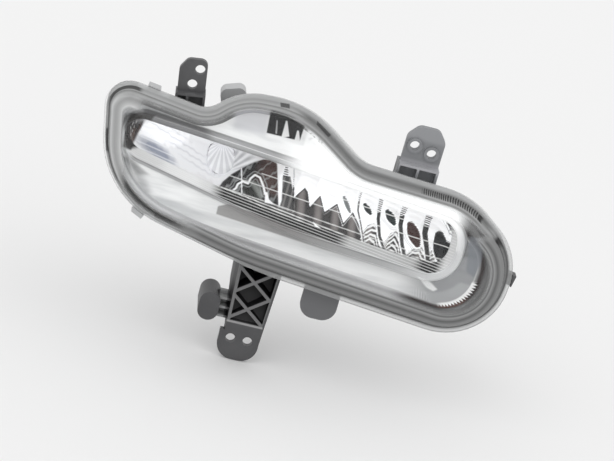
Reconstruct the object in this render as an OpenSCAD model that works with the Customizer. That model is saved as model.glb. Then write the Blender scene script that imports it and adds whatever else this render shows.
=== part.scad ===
// Daytime running light for the front bumper of a car, with its bulb and holder.
// The lamp shines towards -Y, +X is its right as seen from the front, and +Z is up.
// The origin lies midway between the two holes of the lower bracket, on its seating face.

/* [Lens outline] */
// Distance from the bracket's centre line to the lens's left end
reach_left = 110; // [106:1:119]
// Distance from the bracket's centre line to the lens's right end
reach_right = 140; // [136:1:150]
// Height of the lens's lower edge over the fixing holes, at the bracket
lens_lift = 46.8; // [44:0.2:52]
// How far the lower edge falls from the bracket to the right end
fall_right = 13.6; // [9:0.2:16]
// How far the lower edge climbs from the bracket to the left end
climb_left = 23.5; // [21:0.5:26]
// Height of the upper right shoulder over the lower edge at the bracket
shoulder_h = 79; // [77:0.5:82]
// Height of the upper left corner over the lower edge at the bracket
left_h = 96; // [93:0.5:98]
// Height of the hump over the lower edge at the bracket
hump_h = 105.2; // [101:0.2:109]
// Middle of the hump, left of the bracket's centre line
hump_offset = 17.2; // [16:0.2:18]
// Length of the hump's flat top before it is rounded
hump_w = 38.8; // [38:0.2:41]
// Width of the lens's flange, outside its side wall
flange_w = 5; // [4.4:0.1:5.6]

/* [Lens section] */
// Wall of the lens
lens_wall = 2.2; // [1.8:0.1:2.4]
// Thickness of the flange
flange_t = 2; // [1.6:0.1:2.6]
// Height of the side wall in front of the flange
side_h = 6; // [5:0.5:8]
// Height of the crown in front of the side wall
crown_h = 6; // [4:0.5:9]
// Depth of the leg that stands in the sealant
leg_h = 4.5; // [4:0.5:6]
// Distance from the seating faces to the back of the flange
flange_y = 11; // [10:0.5:13]

/* [Ring in front of the reflector] */
// Distance from the lens's left end to the ring's opening
eye_gap_left = 15.5; // [14:0.5:17]
// Distance from the lens's right end to the ring's opening
eye_gap_right = 35.5; // [33:0.5:38]
// Height of the opening's lower edge over the lens's lower edge, at the bracket
eye_rise = 31.2; // [30:0.2:33]
// Height of the lens's upper right shoulder over the opening at the bracket
eye_gap_top = 13.8; // [13:0.1:15]
// Width of the ring's band along its lower side
band_w = 8; // [6:0.5:9]
// Height of the ring in front of the floor
ring_h = 5.5; // [4:0.5:7]
// Distance from the seating faces forward to the floor around the ring
floor_y = 7; // [6.6:0.1:8]
// Wall of the bezel
bezel_wall = 2; // [1.6:0.1:2.2]

/* [Reflector] */
// Depth of the smooth bowl behind the ring
bowl_depth = 24; // [20:1:26]
// Number of upright flutes
flute_count = 9; // [6:1:10]
// Depth of a flute
flute_depth = 2.2; // [1:0.2:3]
// Depth of the facets in each of the three rows
row_depth = 1.2; // [0.6:0.2:2]
// Wall of the reflector
reflector_wall = 2; // [1.6:0.1:2.4]

/* [Housing] */
// Distance from the seating faces to the housing's back
housing_depth = 34; // [32:1:40]
// Wall of the housing
housing_wall = 2.2; // [1.8:0.1:2.6]
// Outer wall of the channel for the lens
channel_wall = 1.5; // [1.2:0.1:1.8]
// Thickness of the fixing tabs
tab_t = 3.5; // [2.5:0.1:4.5]
// Width of the lower bracket at its holes
bracket_w = 24; // [22:0.5:28]
// Width of the lower bracket where it meets the shell
bracket_top_w = 29; // [26:0.5:32]
// Thickness of the bracket's walls and crossed ribs
rib_t = 1.8; // [1.4:0.1:2.4]
// Depth of the bracket at the shell
bracket_depth = 16; // [12:1:20]
// Width of the slanted flank along the bracket's left side
flank_w = 2.6; // [1.5:0.1:3.5]
// Width of the locating tower
tower_w = 12; // [10:0.5:14]
// Height of the locating tower
tower_h = 17.5; // [15:0.5:20]
// Length of the locating tower from front to back
tower_len = 20; // [14:1:24]
// Width of the upper left tab
left_tab_w = 15.6; // [14:0.2:18]
// Distance from the tab's middle to its holes
left_tab_shift = 2; // [0:0.1:2.5]
// Distance from the lens's left end to the middle of the upper left tab
left_tab_in = 47.4; // [45:0.2:50]
// Height of the upper left tab's holes over the lens's edge
left_tab_rise = 12.3; // [11:0.1:14]
// Width of the upper right tab
right_tab_w = 21.5; // [20:0.5:24]
// Distance from the lens's right end to the middle of the upper right tab
right_tab_in = 68.5; // [66:0.5:71]
// Height of the upper right tab's middle over the lens's shoulder
right_tab_rise = 13.1; // [12:0.1:15]
// Width of the lower tongue
tongue_w = 21.5; // [18:0.5:24]

/* [Fixing holes] */
// Diameter of the fixing holes
hole_d = 5.6; // [5:0.1:6.2]
// Distance between the two holes of the lower bracket
lower_pitch = 10.1; // [9:0.1:12]
// Distance between the two holes of the upper left tab
left_pitch = 9.5; // [9:0.1:10.5]
// Distance between the two holes of the upper right tab
right_pitch = 10.9; // [9.5:0.1:12]

/* [Bulb and holder] */
// Bulb's axis, left of the bracket's centre line
bulb_x = 36; // [34:0.5:38]
// Diameter of the bulb's glass
glass_d = 15; // [13:0.5:17]
// Length of the glass in front of its wedge
glass_len = 23; // [20:0.5:26]
// Width of the wedge that the bulb is held by
wedge_w = 12; // [10:0.5:13]
// Bore of the port in the housing
port_d = 30; // [28:0.5:32]
// Length of the port's tube behind the housing
port_len = 10; // [8:0.5:14]
// Width of the connector's socket
socket_w = 17; // [15:0.5:19]
// Height of the connector's socket
socket_h = 10.6; // [10:0.2:12]
// Depth of the connector's socket
socket_len = 13; // [11:0.5:16]
// Diameter of the screws that hold the reflector
screw_d = 3.5; // [3:0.1:4]

/* [Hidden] */

// Clearance between pieces that fit into each other
fit = 0.3;
// Steps along each rounded corner of the lofted mouldings
steps = 7;

// Hollow between the hump and the upper left corner: x, z
dip = [-hump_w / 2 - hump_offset - 15.7, lens_lift + hump_h - 17.4];
// Upper left corner: x, z
left_corner = [-reach_left - 2.1, lens_lift + left_h - 0.1];
// Corners of the lens's outline, anticlockwise from the lower right one: x, z, radius
lens_corners = [
    [reach_right - 1, lens_lift - fall_right, 36],
    [reach_right + 1.2, lens_lift + shoulder_h - 31.4, 38],
    [reach_right - 35, lens_lift + shoulder_h - 3.8, 48],
    [reach_right - 99.6, lens_lift + shoulder_h, 24],
    [hump_w / 2 - hump_offset, lens_lift + hump_h, 60],
    [-hump_w / 2 - hump_offset, lens_lift + hump_h - 1.9, 36],
    [dip.x, dip.y, 11],
    [left_corner.x, left_corner.y, 14.5],
    [-reach_left + 11.5, lens_lift + climb_left, 56],
    [0, lens_lift, 200]
];
// Height of the lens's edge between the hollow and the upper left corner
function edge_z(x) = dip.y + (left_corner.y - dip.y) * (dip.x - x) / (dip.x - left_corner.x);
// Share of the flange's width outside each side of the wall, from the right end on
flange_share = [0.8, 0.9, 1, 1, 1, 1, 1, 0.6, 0.5, 0.9];
// Width of the slanted skirt between the lens's wall and the floor, on each side
skirt_w = [9, 8, 4, 1, 1, 1, 0.3, 0.3, 0.5, 4];

eye_left = reach_left - eye_gap_left;
eye_right = reach_right - eye_gap_right;
eye_lift = lens_lift + eye_rise;
eye_h = shoulder_h - eye_rise - eye_gap_top;
eye_round = 0.4 * eye_h;
// Corners of the ring's opening, in step with those of the lens
eye_corners = [
    [eye_right - 0.5, eye_lift - 8.8, eye_round],
    [eye_right + 0.5, eye_lift + 0.235 * eye_h, 34],
    [eye_right - 1, eye_lift + eye_h - 9.4, eye_round],
    [eye_right - 54.5, eye_lift + eye_h - 4.2, 400],
    [0, eye_lift + eye_h + 0.7, 400],
    [-eye_left + 62.5, eye_lift + eye_h + 3.6, 400],
    [-eye_left + 39.5, eye_lift + eye_h + 5.5, 400],
    [-eye_left - 1, eye_lift + eye_h + 8.8, 9.5],
    [-eye_left + 2.5, eye_lift + 0.6 * eye_h, 13.5],
    [0, eye_lift, 200]
];
// Share of the band's width on each side of the ring
band_share = [0.75, 0.75, 0.57, 0.57, 0.57, 0.57, 0.57, 0.27, 0.38, 0.8];

// Line along the middle of the lens, towards which its crown rises
spine = [[-eye_left + 12.5, eye_lift + eye_h - 6], [eye_right - 0.5, eye_lift + 3]];

bulb_z = eye_lift + 0.62 * eye_h - 0.08;
// Distances of the reflector's screws from the bulb and from the opening
screw_by_bulb = 12;
screw_in = 46.5;
screw_below = 18;
screw_out = 16.5;
screw_above = 8;
hump_room = hump_h - eye_rise - eye_h;
// The screws of the reflector: x, z
screw_places = [
    [-bulb_x - screw_by_bulb, eye_lift - 1], [eye_right - screw_in, eye_lift - screw_below],
    [0.7 - hump_offset, eye_lift + eye_h + 0.43 * hump_room], [eye_right + screw_out, eye_lift + screw_above]
];
screw_head_d = 2 * screw_d;
screw_head_h = 2.2;
screw_len = 12;
ear_d = screw_head_d + 3;
boss_d = screw_d + 5;
rim_y = -flange_y;
leg_end = rim_y + leg_h;
seal_t = 1.5;
groove_floor = leg_end + seal_t;
lip_y = rim_y + 1.5;
lip_w = 1.6;
seat_y = -2;
head_y = seat_y + 0.2;
boss_y = head_y + reflector_wall;
leg_in = lens_wall + 0.2;
inner_lip = leg_in + 0.6;
skirt_in = inner_lip + lip_w + 0.3;
bulb_seat = housing_depth + 3;
port_end = housing_depth + port_len;
port_start = housing_depth - 4;

// Plane geometry

function out_normal(a, b) = let (d = (b - a) / norm(b - a)) [d.y, -d.x];
function along(a, b) = (b - a) / norm(b - a);
function flat(v) = [v.x, v.y];
function meet(p, u, q, v) = p + u * ((q - p).x * v.y - (q - p).y * v.x) / (u.x * v.y - u.y * v.x);
function bend(c, i) =
    let (
        n = len(c),
        u = along(flat(c[(i + n - 1) % n]), flat(c[i])),
        v = along(flat(c[i]), flat(c[(i + 1) % n]))
    ) atan2(u.x * v.y - u.y * v.x, u * v);

// Moves each side of a shape inwards by its own distance and keeps its roundings concentric
function inset(c, d) = [
    for (i = [0 : len(c) - 1])
        let (
            n = len(c),
            h = (i + n - 1) % n,
            a = flat(c[h]),
            b = flat(c[i]),
            e = flat(c[(i + 1) % n]),
            p = meet(b - out_normal(a, b) * d[h], along(a, b), b - out_normal(b, e) * d[i], along(b, e)),
            r = c[i][2] - sign(bend(c, i)) * (d[h] + d[i]) / 2
        ) [p.x, p.y, max(r, 1.2)]
];

// Points along a shape whose corners are rounded
function rounded(c) = [
    for (i = [0 : len(c) - 1])
        let (
            n = len(c),
            a = flat(c[(i + n - 1) % n]),
            b = flat(c[i]),
            t = bend(c, i),
            s = sign(t),
            r = c[i][2],
            o = out_normal(a, b),
            start = atan2(o.y, o.x),
            centre = b - along(a, b) * r * tan(abs(t) / 2) - o * s * r
        )
        for (k = [0 : steps])
            centre + s * r * [cos(start + t * k / steps), sin(start + t * k / steps)]
];

// One ring of a loft that follows the lens: shares of the flange and the skirt, and a distance
function rim_path(flange, more, skirt) =
    rounded(inset(lens_corners, [for (i = [0 : 9]) flange * flange_w * flange_share[i] + more + skirt * skirt_w[i]]));
function rim(flange, more, skirt, y) = [for (p = rim_path(flange, more, skirt)) [p.x, y, p.y]];

// One ring that follows the opening, so far outside it
function eye_path(band, more) =
    rounded(inset(eye_corners, [for (i = [0 : 9]) -band * band_w * band_share[i] - more]));
function eye(band, more, y) = [for (p = eye_path(band, more)) [p.x, y, p.y]];

// One ring of a crown: a ring of the rim drawn in towards the spine
function spine_point(p) =
    let (
        d = spine[1] - spine[0],
        t = max(0, min(1, (p - spine[0]) * d / (d * d)))
    ) spine[0] + d * t;
function crown(share, more, y) = [
    for (p = rim_path(1, more, 0))
        let (s = spine_point(p), q = s + (p - s) * share) [q.x, y, q.y]
];

// Solids

module loft(rings, closed = false) {
    n = len(rings[0]);
    m = len(rings);
    sides = [
        for (k = [0 : m - (closed ? 1 : 2)])
            for (i = [0 : n - 1])
                let (
                    a = k * n + i,
                    b = k * n + (i + 1) % n,
                    c = ((k + 1) % m) * n + i,
                    d = ((k + 1) % m) * n + (i + 1) % n
                ) each [[a, d, b], [a, c, d]]
    ];
    ends = closed ? [] : [[for (i = [0 : n - 1]) i], [for (i = [n - 1 : -1 : 0]) (m - 1) * n + i]];
    polyhedron(points = [for (r = rings) each r], faces = concat(sides, ends), convexity = 8);
}

// Extrudes a shape drawn in x and z from one depth to another
module slab(front, back) {
    translate([0, back, 0]) rotate([90, 0, 0]) linear_extrude(back - front) children();
}

module rod(d, front, back, x = 0, z = 0) {
    translate([x, back, z]) rotate([90, 0, 0]) cylinder(d = d, h = back - front, $fn = 48);
}

// A rounded tab from its base up, centred on x = 0
module tab_shape(w, base, top, r) {
    translate([-w / 2, base]) square([w, top - r - base]);
    translate([-w / 2 + r, base]) square([w - 2 * r, top - base]);
    for (s = [-1, 1]) translate([s * (w / 2 - r), top - r]) circle(r, $fn = 48);
}

// Lens

module lens() {
    color([0.85, 0.88, 0.9, 0.45])
        loft([
            crown(0.3, 6 + lens_wall, rim_y - side_h - crown_h + lens_wall),
            crown(0.62, 6 + lens_wall, rim_y - side_h - 0.78 * crown_h + lens_wall),
            crown(0.88, 6 + lens_wall, rim_y - side_h - 0.42 * crown_h + lens_wall),
            rim(1, 3.4 + lens_wall, 0, rim_y - side_h + lens_wall - 0.4),
            rim(1, 1 + lens_wall, 0, rim_y - side_h + lens_wall + 1.2),
            rim(1, leg_in, 0, rim_y),
            rim(1, leg_in, 0, leg_end),
            rim(1, 0.2, 0, leg_end),
            rim(1, 0.2, 0, rim_y),
            rim(0, 0, 0, rim_y),
            rim(0, 0, 0, rim_y - flange_t),
            rim(1, 0, 0, rim_y - flange_t),
            rim(1, 1, 0, rim_y - side_h + 0.6),
            rim(1, 1.9, 0, rim_y - side_h - 1),
            rim(1, 4, 0, rim_y - side_h - 1.9),
            crown(0.88, 6, rim_y - side_h - 0.5 * crown_h),
            crown(0.62, 6, rim_y - side_h - 0.82 * crown_h),
            crown(0.3, 6, rim_y - side_h - crown_h)
        ]);
}

module lens_seal() {
    color([0.12, 0.12, 0.13])
        loft([
            rim(1, -0.3, 0, groove_floor),
            rim(1, -0.3, 0, leg_end),
            rim(1, leg_in + 0.3, 0, leg_end),
            rim(1, leg_in + 0.3, 0, groove_floor)
        ], closed = true);
}

// Bezel with the ring

module bezel() {
    color([0.72, 0.73, 0.75])
        loft([
            rim(1, lens_wall + 1.4, 0, lip_y),
            rim(1, lens_wall + 1.4, 0, lip_y - bezel_wall),
            rim(1, skirt_in + 1.5, 0, lip_y - bezel_wall),
            rim(1, skirt_in + 1.5, 0.4, lip_y - bezel_wall + 1),
            rim(1, skirt_in + 1.5, 0.5, lip_y - bezel_wall + 1.8),
            rim(1, skirt_in + 1.5, 1, -floor_y),
            eye(1, 0.1, -floor_y),
            eye(0.86, 0, -floor_y - 0.6 * ring_h),
            eye(0.6, 0, -floor_y - ring_h),
            eye(0.2, 0, -floor_y - ring_h),
            eye(0, 0, -floor_y - ring_h + 1.2),
            eye(0, -0.5, -floor_y - ring_h + 4),
            eye(0, -1, -floor_y - ring_h + 4.1),
            eye(0, -1.2, -floor_y - ring_h + 6),
            eye(0, -1.7, -floor_y - ring_h + 6.1),
            eye(0, -1.9, -floor_y - ring_h + 8),
            eye(0, -2.4, -floor_y - ring_h + 8.1),
            eye(0, -2.5, seat_y),
            eye(0, -1.1, seat_y),
            eye(0.1, 0.5, -floor_y - ring_h + 3.4),
            eye(0.55, 0, -floor_y - ring_h + bezel_wall),
            eye(0.9, -0.9, -floor_y + bezel_wall),
            rim(1, skirt_in + 0.6, 0.9, -floor_y + bezel_wall),
            rim(1, skirt_in, 0.5, lip_y + 1),
            rim(1, skirt_in, 0, lip_y)
        ], closed = true);
}

// Reflector

// Lowest and highest z of the opening at x
function eye_span(path, x) =
    let (
        n = len(path),
        hits = [
            for (i = [0 : n - 1])
                let (a = path[i], b = path[(i + 1) % n])
                if ((a.x <= x) != (b.x <= x)) a.y + (b.y - a.y) * (x - a.x) / (b.x - a.x)
        ]
    ) [min(hits), max(hits)];

flute_start = -bulb_x + 27;
flute_end = eye_right - 4;
// Each flute is wider than the last one by this share
flute_growth = 0.06;
flute_total = flute_count * (1 + flute_growth * (flute_count - 1) / 2);
function flute_edge(k) =
    flute_start + (flute_end - flute_start) * k * (1 + flute_growth * (k - 1) / 2) / flute_total;
flute_cuts = 4;
bowl_columns = 13;
row_cuts = 4;
rows = 3 * row_cuts;
bowl_start = -eye_left + 3.4;
flange_out = 4;
columns = concat(
    [for (i = [0 : bowl_columns - 1]) bowl_start + (flute_start - bowl_start) * (1 - cos(180 * i / bowl_columns)) / 2],
    [
        for (k = [0 : flute_count - 1])
            for (j = [0 : flute_cuts - 1])
                flute_edge(k) + (flute_edge(k + 1) - flute_edge(k)) * j / flute_cuts
    ],
    [flute_end]
);
// Depth of the hollow at a column and a share of its height
function flute_wave(i) =
    i < bowl_columns ? 0 : let (u = ((i - bowl_columns) % flute_cuts) / flute_cuts) 4 * u * (1 - u);
function row_wave(k) = let (u = (k % row_cuts) / row_cuts) 4 * u * (1 - u);
function end_fade(x) =
    let (
        a = (x - bowl_start) / 26,
        b = (flute_end - x) / 14
    ) 0.12 + 0.88 * sin(90 * min(1, max(0, min(a, b))));
function hollow(x, i, k) =
    let (
        v = 2 * k / rows - 1,
        side = 1 - v * v,
        fluted = i < bowl_columns ? 0 : 1,
        depth = x < flute_start ? bowl_depth : bowl_depth - 7 * (x - flute_start) / (flute_end - flute_start)
    ) end_fade(x) * side * depth
        + fluted * min(1, 2 * side) * (flute_depth * flute_wave(i) + row_depth * row_wave(k));

module reflector_bowl() {
    path = eye_path(0, -2.6);
    m = len(columns) + 2;
    n = rows + 3;
    // Each grid has one more row and column all round, which is the flange
    function node_at(i, k, back) =
        let (
            j = max(0, min(m - 3, i - 1)),
            h = max(0, min(rows, k - 1)),
            x = columns[j],
            out = flange_out * min(1, 0.3 + (x - bowl_start) / 30),
            s = eye_span(path, x),
            v = h / rows,
            z = s[0] + (s[1] - s[0]) * v,
            px = x + (i == 0 ? -flange_out / 2 : i == m - 1 ? flange_out : 0),
            pz = z + (k == 0 ? -out : k == n - 1 ? out : 0),
            w = 2 * j / (m - 3) - 1,
            rim = i == 0 || i == m - 1 || k == 0 || k == n - 1
        ) rim
            ? [px, seat_y + (back ? reflector_wall : 0), pz]
            : back
                ? [px + w * reflector_wall * 0.8, seat_y + hollow(x, j, h) + reflector_wall + 0.4,
                    pz + (2 * v - 1) * reflector_wall * 0.8]
                : [px, seat_y + hollow(x, j, h), pz];
    points = [
        for (back = [false, true])
            for (i = [0 : m - 1])
                for (k = [0 : n - 1]) node_at(i, k, back)
    ];
    size = m * n;
    skin = [
        for (i = [0 : m - 2])
            for (k = [0 : n - 2])
                let (a = i * n + k, b = a + 1, c = a + n, d = c + 1)
                each [[a, b, d], [a, d, c], [size + a, size + d, size + b], [size + a, size + c, size + d]]
    ];
    edge = concat(
        [for (k = [0 : n - 1]) k],
        [for (i = [1 : m - 1]) i * n + n - 1],
        [for (k = [n - 2 : -1 : 0]) (m - 1) * n + k],
        [for (i = [m - 2 : -1 : 1]) i * n]
    );
    walls = [
        for (j = [0 : len(edge) - 1])
            let (a = edge[j], b = edge[(j + 1) % len(edge)])
            each [[a, size + a, b], [b, size + a, size + b]]
    ];
    polyhedron(points = points, faces = concat(skin, walls), convexity = 10);
}

// How far an ear reaches onto the flange
ear_bite = flange_out - 1.2;

// From a screw to the flange: an angle and a length
function ear_way(path, p) =
    let (span = eye_span(path, min(p.x, flute_end)))
        p.x > flute_end + flange_out
            ? [180, p.x - flute_end - flange_out + ear_bite]
            : p.y < span[0]
                ? [90, span[0] - flange_out - p.y + ear_bite]
                : [-90, p.y - span[1] - flange_out + ear_bite];

module reflector_ears() {
    path = eye_path(0, -2.6);
    for (p = screw_places) {
        way = ear_way(path, p);
        slab(seat_y + 0.2, seat_y + reflector_wall + 0.2) translate(p) {
            circle(d = ear_d, $fn = 48);
            rotate(way[0]) translate([0, -ear_d / 2]) square([way[1], ear_d]);
        }
    }
}

module reflector() {
    color([0.86, 0.87, 0.9])
        difference() {
            union() {
                reflector_bowl();
                reflector_ears();
            }
            rod(glass_d + 2, 8, housing_depth, -bulb_x, bulb_z);
            for (p = screw_places) rod(screw_d + fit, seat_y - 1, 2, p.x, p.y);
        }
}

module reflector_screws() {
    color([0.55, 0.56, 0.58])
        for (p = screw_places)
            difference() {
                union() {
                    rod(screw_head_d, head_y - screw_head_h, head_y, p.x, p.y);
                    rod(screw_d - 0.8, head_y, screw_len, p.x, p.y);
                }
                rod(2.6, head_y - screw_head_h - 1, head_y - 0.8, p.x, p.y);
            }
}

// Housing

left_tab_tilt = 8;
left_tab_x = left_tab_in - reach_left;
left_tab_z = edge_z(left_tab_x) + left_tab_rise;
right_tab_x = reach_right - right_tab_in;
right_tab_z = lens_lift + shoulder_h + right_tab_rise;
wall_out = -0.5 - channel_wall;

// How far the body's wall lies inside the lens's wall, at its middle and at its back
middle_in = 6.6;
back_in = 12.5;

module shell() {
    loft([
        crown(0.5, back_in, housing_depth),
        crown(0.85, back_in, housing_depth - 1.5),
        rim(1, back_in, 0, housing_depth - 7),
        rim(1, middle_in, 0, 8),
        rim(1, inner_lip, 0, groove_floor + housing_wall),
        rim(1, wall_out, 0, groove_floor + housing_wall),
        rim(1, wall_out, 0, rim_y),
        rim(1, -0.5, 0, rim_y),
        rim(1, -0.5, 0, groove_floor),
        rim(1, inner_lip, 0, groove_floor),
        rim(1, inner_lip, 0, lip_y),
        rim(1, inner_lip + lip_w, 0, lip_y),
        rim(1, inner_lip + lip_w, 0, groove_floor + housing_wall + 1),
        rim(1, middle_in + housing_wall, 0, 9),
        rim(1, back_in + housing_wall, 0, housing_depth - 7.6),
        crown(0.85, back_in + housing_wall, housing_depth - 1.5 - housing_wall),
        crown(0.5, back_in + housing_wall, housing_depth - housing_wall)
    ]);
}

module hole_pair(pitch, angle, d = hole_d) {
    for (s = [-1, 1]) rotate(angle) translate([s * pitch / 2, 0]) circle(d = d, $fn = 48);
}

left_hole_angle = 76;
right_hole_angle = -15;

// Width of the collar round each hole of the right tab
collar_w = 1.6;

// Ribs and roof of the boxes at the feet of the upper tabs
foot_wall = 1.4;
foot_back = 3;

// A box that is open at the front, with a rib at each of the given places
module foot_box(x0, x1, low, high, front, ribs) {
    difference() {
        translate([x0, front, low]) cube([x1 - x0, foot_back - front, high - low]);
        difference() {
            translate([x0 + foot_wall, front - 1, low - 1])
                cube([x1 - x0 - 2 * foot_wall, foot_back - foot_wall - front + 1, high - low - foot_wall + 1]);
            for (x = ribs)
                translate([x, front - 2, low - 2]) cube([foot_wall, foot_back - front + 3, high - low + 3]);
        }
    }
}

module left_tab() {
    half = left_tab_w / 2;
    top = 10.2;
    translate([left_tab_x, 0, left_tab_z])
        difference() {
            rotate([0, -left_tab_tilt, 0]) translate([-left_tab_shift, 0, 0]) {
                slab(-tab_t, 0) offset(4, $fn = 48) offset(-4, $fn = 48)
                    polygon([[-half, -18], [half, -18], [half, top], [-half + 4.4, top], [-half, top - 5.6]]);
                foot_box(-half - 0.8, half + 0.4, -18, -8.5, -8.6, [-2.6]);
            }
            slab(-20, 20) hole_pair(left_pitch, left_hole_angle);
        }
}

module right_tab() {
    half = right_tab_w / 2;
    low = -21;
    top = 12.9;
    translate([right_tab_x, 0, right_tab_z])
        difference() {
            union() {
                slab(-tab_t, 0) offset(5, $fn = 48) offset(-5, $fn = 48)
                    polygon([
                        [-half - 0.1, low], [half + 0.5, low], [half + 0.7, top - 6.4],
                        [half - 4.2, top], [-half + 5.6, top], [-half, top - 6.4]
                    ]);
                foot_box(-half - 1.4, half + 0.9, low, -9, -9, [-0.9]);
                slab(-tab_t - 1.2, 0) hole_pair(right_pitch, right_hole_angle, hole_d + 2 * collar_w);
            }
            slab(-20, 20) hole_pair(right_pitch, right_hole_angle);
        }
}

pocket_low = 11;
pocket_cell = 17;
bracket_end = -13;
bracket_up = lens_lift + 12;

module bracket_shape(less, flank = 0) {
    intersection() {
        polygon([
            [-bracket_w / 2 + less + flank, bracket_end],
            [bracket_w / 2 - less, bracket_end],
            [bracket_w / 2 - less, 0],
            [bracket_top_w / 2 - less, bracket_up],
            [-bracket_top_w / 2 + less + flank, bracket_up],
            [-bracket_w / 2 + less + flank, 0]
        ]);
        union() {
            translate([-50, 0]) square([100, 100]);
            translate([0, 0]) square([bracket_w - 20, -2 * bracket_end], center = true);
            for (s = [-1, 1])
                translate([s * (bracket_w / 2 - 10), bracket_end + 10]) circle(10, $fn = 48);
            translate([-bracket_w / 2, bracket_end + 10]) square([bracket_w, 10]);
        }
    }
}

module crossed_ribs() {
    for (c = [0, 1])
        for (s = [-1, 1])
            translate([0, pocket_low + pocket_cell * (c + 0.5)])
                rotate(s * atan2(pocket_cell, bracket_w - 2))
                    square([2 * bracket_w, rib_t], center = true);
}

// What the slanted flank takes off the bracket's left side
module flank_cut() {
    lean = atan2((bracket_top_w - bracket_w) / 2, bracket_up);
    translate([-bracket_w / 2 + flank_w, -tab_t, pocket_low - 6.5])
        rotate([0, -lean, 0]) rotate(atan2(flank_w, bracket_depth - 3))
            translate([-20, -2, 0]) cube([20, bracket_depth + 12, bracket_up + 20]);
}

module lower_bracket() {
    difference() {
        union() {
            slab(-tab_t, 0) bracket_shape(0);
            intersection() {
                slab(-tab_t, bracket_depth) bracket_shape(0);
                translate([-50, 0, 0]) rotate([90, 0, 90]) linear_extrude(100)
                    polygon([
                        [-tab_t, pocket_low - 4], [0, pocket_low - 4],
                        [bracket_depth, bracket_up - 12], [bracket_depth, bracket_up], [-tab_t, bracket_up]
                    ]);
            }
        }
        intersection() {
            slab(-tab_t - 1, bracket_depth) difference() {
                intersection() {
                    bracket_shape(rib_t, flank_w);
                    translate([-50, pocket_low]) square([100, 2 * pocket_cell]);
                }
                crossed_ribs();
            }
            translate([-50, 0, 0]) rotate([90, 0, 90]) linear_extrude(100)
                polygon([
                    [-tab_t - 2, pocket_low - 1], [0, pocket_low - 1],
                    [bracket_depth - rib_t, bracket_up - 10], [bracket_depth - rib_t, bracket_up],
                    [-tab_t - 2, bracket_up]
                ]);
        }
        flank_cut();
        slab(-20, 20) hole_pair(lower_pitch, 0);
    }
}

tower_gap = 4;
tower_x = -bracket_w / 2 - tower_gap - tower_w / 2;
tower_z = 16.5;

module tower() {
    slab(-tab_t - 0.5, tower_len - tab_t)
        translate([tower_x, tower_z]) {
            square([tower_w, tower_h - tower_w], center = true);
            for (s = [-1, 1]) translate([0, s * (tower_h - tower_w) / 2]) circle(d = tower_w, $fn = 48);
        }
    for (z = [-5.5, 0, 5.5])
        translate([tower_x + tower_w / 2 - 2, -tab_t + 1, tower_z + z]) cube([tower_gap + 2 + rib_t, 9, 1.4]);
    translate([tower_x + tower_w / 2 - 2, 4, tower_z - 7]) cube([tower_gap + 2 + rib_t, 3, 15.5]);
}

tongue_x = 39.2;
tongue_end = 23.6;

module tongue() {
    up = lens_lift + 6;
    slab(-tab_t, -tab_t + 2.6)
        translate([tongue_x, up + tongue_end]) rotate(180) tab_shape(tongue_w, tongue_end, up, 8.5);
}

// The catches over the flange: x, z, turn, and how far each reaches below and above its middle
catch_w = 7;
catch_places = [
    [26 - reach_left, edge_z(26 - reach_left) - 1.4, -8, 6, 2.4],
    [35 - reach_left, lens_lift + climb_left - 4.2, -26, 2.8, 6],
    [reach_right, lens_lift + shoulder_h - 47.6, 80, 2.2, 6]
];

module catches() {
    for (c = catch_places)
        translate([c[0], 0, c[1]]) rotate([0, -c[2], 0])
            translate([-catch_w / 2, rim_y - flange_t + 0.2, -c[3]])
                cube([catch_w, flange_t + leg_h, c[3] + c[4]]);
}

// The rounded boss behind the hollow of the edge
module dip_boss() {
    slab(10, housing_depth - 14) translate([dip.x + 14.3, dip.y + 1.4]) rotate(19)
        offset(4, $fn = 48) square([6.5, 6], center = true);
}

module bosses() {
    for (p = screw_places)
        rod(boss_d, boss_y, housing_depth - housing_wall, p.x, p.y);
}

vent_in = 42.5;
vent_up = 8;
vent_x = eye_right - vent_in;
vent_z = eye_lift + vent_up;
vent_d = 9;
vent_len = 8;

module lugs(r, w, front, back, angle) {
    for (k = [0 : 2])
        translate([-bulb_x, back, bulb_z]) rotate([90, 0, 0]) rotate(angle + 120 * k)
            translate([r - 5, -w / 2, 0]) cube([5, w, back - front]);
}

module housing() {
    color([0.36, 0.36, 0.37])
        difference() {
            union() {
                shell();
                difference() {
                    union() {
                        left_tab();
                        right_tab();
                        lower_bracket();
                        tongue();
                    }
                    slab(rim_y - 20, groove_floor + 1) polygon(rim_path(1, wall_out + 0.5, 0));
                }
                difference() {
                    catches();
                    slab(rim_y - 20, rim_y) polygon(rim_path(0, -fit, 0));
                    slab(rim_y, groove_floor + 1) polygon(rim_path(1, wall_out + 0.5, 0));
                }
                tower();
                bosses();
                rod(port_d + 8, port_start, port_end, -bulb_x, bulb_z);
                rod(vent_d, housing_depth - 1, housing_depth + vent_len, vent_x, vent_z);
                dip_boss();
            }
            rod(port_d, port_start - 20, port_end + 1, -bulb_x, bulb_z);
            lugs(port_d / 2 + 2.4, 7, port_start - 1, port_end + 1, 30);
            rod(4, housing_depth - 8, housing_depth + vent_len + 1, vent_x, vent_z);
            for (p = screw_places) rod(screw_d - 0.8, -1, screw_len + 1, p.x, p.y);
        }
}

// Bulb

module on_bulb_axis() {
    translate([-bulb_x, 0, bulb_z]) rotate([90, 0, 0]) children();
}

wedge_t = 3;
wedge_len = 11;
glass_back = bulb_seat - wedge_len;
glass_wall = 0.8;
glass_floor = 4;

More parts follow.
